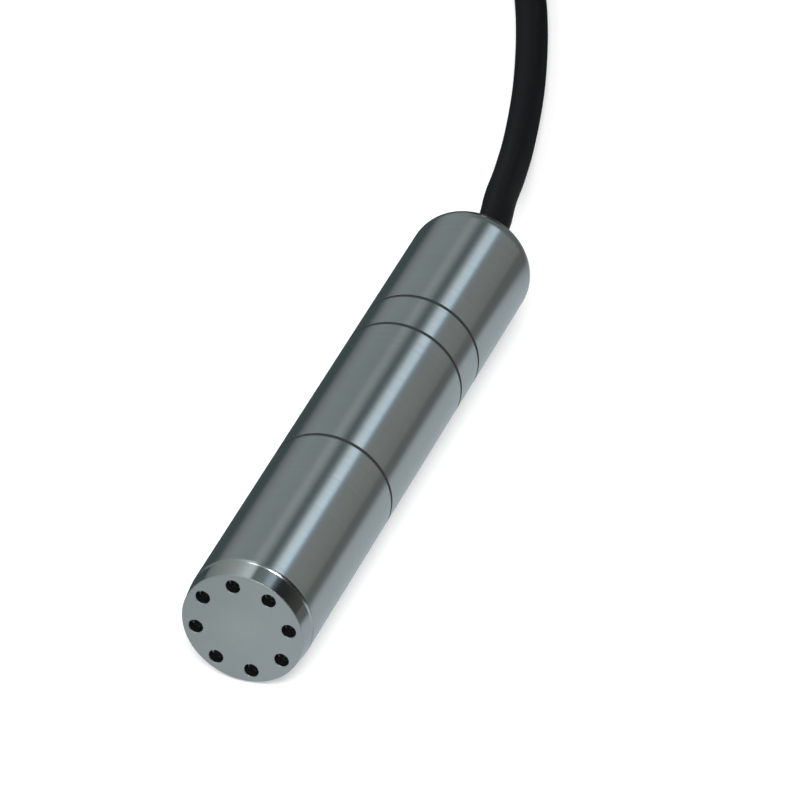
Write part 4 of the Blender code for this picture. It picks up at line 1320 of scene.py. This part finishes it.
NEAR_BANDS = (
    (0.0, (0.075, 0.075, 0.07)),
    (20.0, (0.05, 0.052, 0.048)),
    (34.0, (0.025, 0.027, 0.025)),
    (50.0, (0.025, 0.028, 0.028)),
    (58.0, (0.10, 0.13, 0.15)),
    (63.0, (0.42, 0.52, 0.60)),
    (70.0, (0.40, 0.48, 0.53)),
    (77.0, (0.20, 0.25, 0.26)),
    (93.0, (0.15, 0.185, 0.185)),
    (99.0, (0.66, 0.75, 0.74)),
    (107.0, (0.66, 0.75, 0.74)),
    (116.0, (0.50, 0.57, 0.565)),
    (128.0, (0.405, 0.446, 0.43)),
    (152.0, (0.30, 0.33, 0.305)),
    (180.0, (0.21, 0.245, 0.24)),
)
NEAR_END = 0.62
FAR_START = 0.67
WALL_START = 0.79
WALL_FULL = 0.85
WALL_SIDES = (-0.35, -0.15)
EVEN_LIGHT = (0.5, 0.5, 0.5)
WHITE = (1.0, 1.0, 1.0)


def bands(tree, angle, listed):
    """A ramp of colours by the angle about the probe, in half turns."""
    stops = [(degrees / 180, colour) for degrees, colour in listed]
    return tree.add("ShaderNodeValToRGB", {"stops": stops}, {0: angle})


def studio_world():
    world = bpy.data.worlds.new("studio")
    world.use_nodes = True
    bpy.context.scene.world = world
    world.node_tree.nodes.clear()
    tree = Tree(world.node_tree)
    across, along, up = tree.split(tree.add("ShaderNodeTexCoord", output="Generated"))
    angle = up.math("ARCTAN2", across) / math.pi
    far = tree.ramp(along, NEAR_END, FAR_START)
    mirrored = tree.mix(far, bands(tree, angle, NEAR_BANDS), bands(tree, angle, FAR_BANDS))
    wall = tree.mix(tree.ramp(across, *WALL_SIDES), (0.27, 0.31, 0.30), (0.16, 0.185, 0.178))
    mirrored = tree.mix(tree.ramp(along, WALL_START, WALL_FULL), mirrored, wall)
    glossy = tree.add("ShaderNodeLightPath", output="Is Glossy Ray")
    seen = tree.add("ShaderNodeLightPath", output="Is Camera Ray")
    colour = tree.mix(glossy, tree.mix(seen, EVEN_LIGHT, WHITE), mirrored)
    background = tree.add("ShaderNodeBackground", None, {"Color": colour, "Strength": 1.0})
    tree.make("ShaderNodeOutputWorld", None, {0: background})


studio_world()
print("room:", len(FAR_BANDS), "stops far off,", len(NEAR_BANDS), "nearer")

# %% [markdown]
# ## The lamps
# One large soft lamp stands above the nose, on the camera's side. It lights the matt parts, and a weaker one
# fills from the left. Steel doesn't see these two. Two small panels, close together near the camera, are
# there for the chamfer at the front of the tube, which catches each of them as a glint. Each lamp is told by
# its place, what it points at, its width and height, its power, and whether steel alone sees it.

# %% Hang the lamps
TUBE_FRONT = (0, NOSE_Y, AXIS_Z)
LAMPS = (
    ("key", (0.35, -0.75, 0.95), (0, 0, 0), (0.55, 0.4), 13.0, False),
    ("fill", (-0.9, 0.1, 0.8), (0, 0.1, 0), (0.8, 0.8), 7.0, False),
    ("glint_right", (0.33, -0.86, 0.82), TUBE_FRONT, (0.26, 0.2), 2.1, True),
    ("glint_left", (-0.24, -0.81, 0.92), TUBE_FRONT, (0.14, 0.2), 0.4, True),
)


def soft_lamp(name, place, target, size, power, glossy):
    data = bpy.data.lights.new(name, "AREA")
    data.shape = "RECTANGLE"
    data.size, data.size_y = size
    data.energy = power
    lamp = add_object(name, data)
    lamp.location = place
    lamp.rotation_euler = (Vector(target) - Vector(place)).to_track_quat("-Z", "Y").to_euler()
    lamp.visible_camera = False
    lamp.visible_glossy = glossy
    lamp.visible_diffuse = not glossy


for lamp_entry in LAMPS:
    soft_lamp(*lamp_entry)
print("lamps:", [lamp_entry[0] for lamp_entry in LAMPS])

# %% [markdown]
# ## Finish
# The Standard view shows a colour as it is written.

# %% Finish
bpy.context.scene.view_settings.view_transform = "Standard"
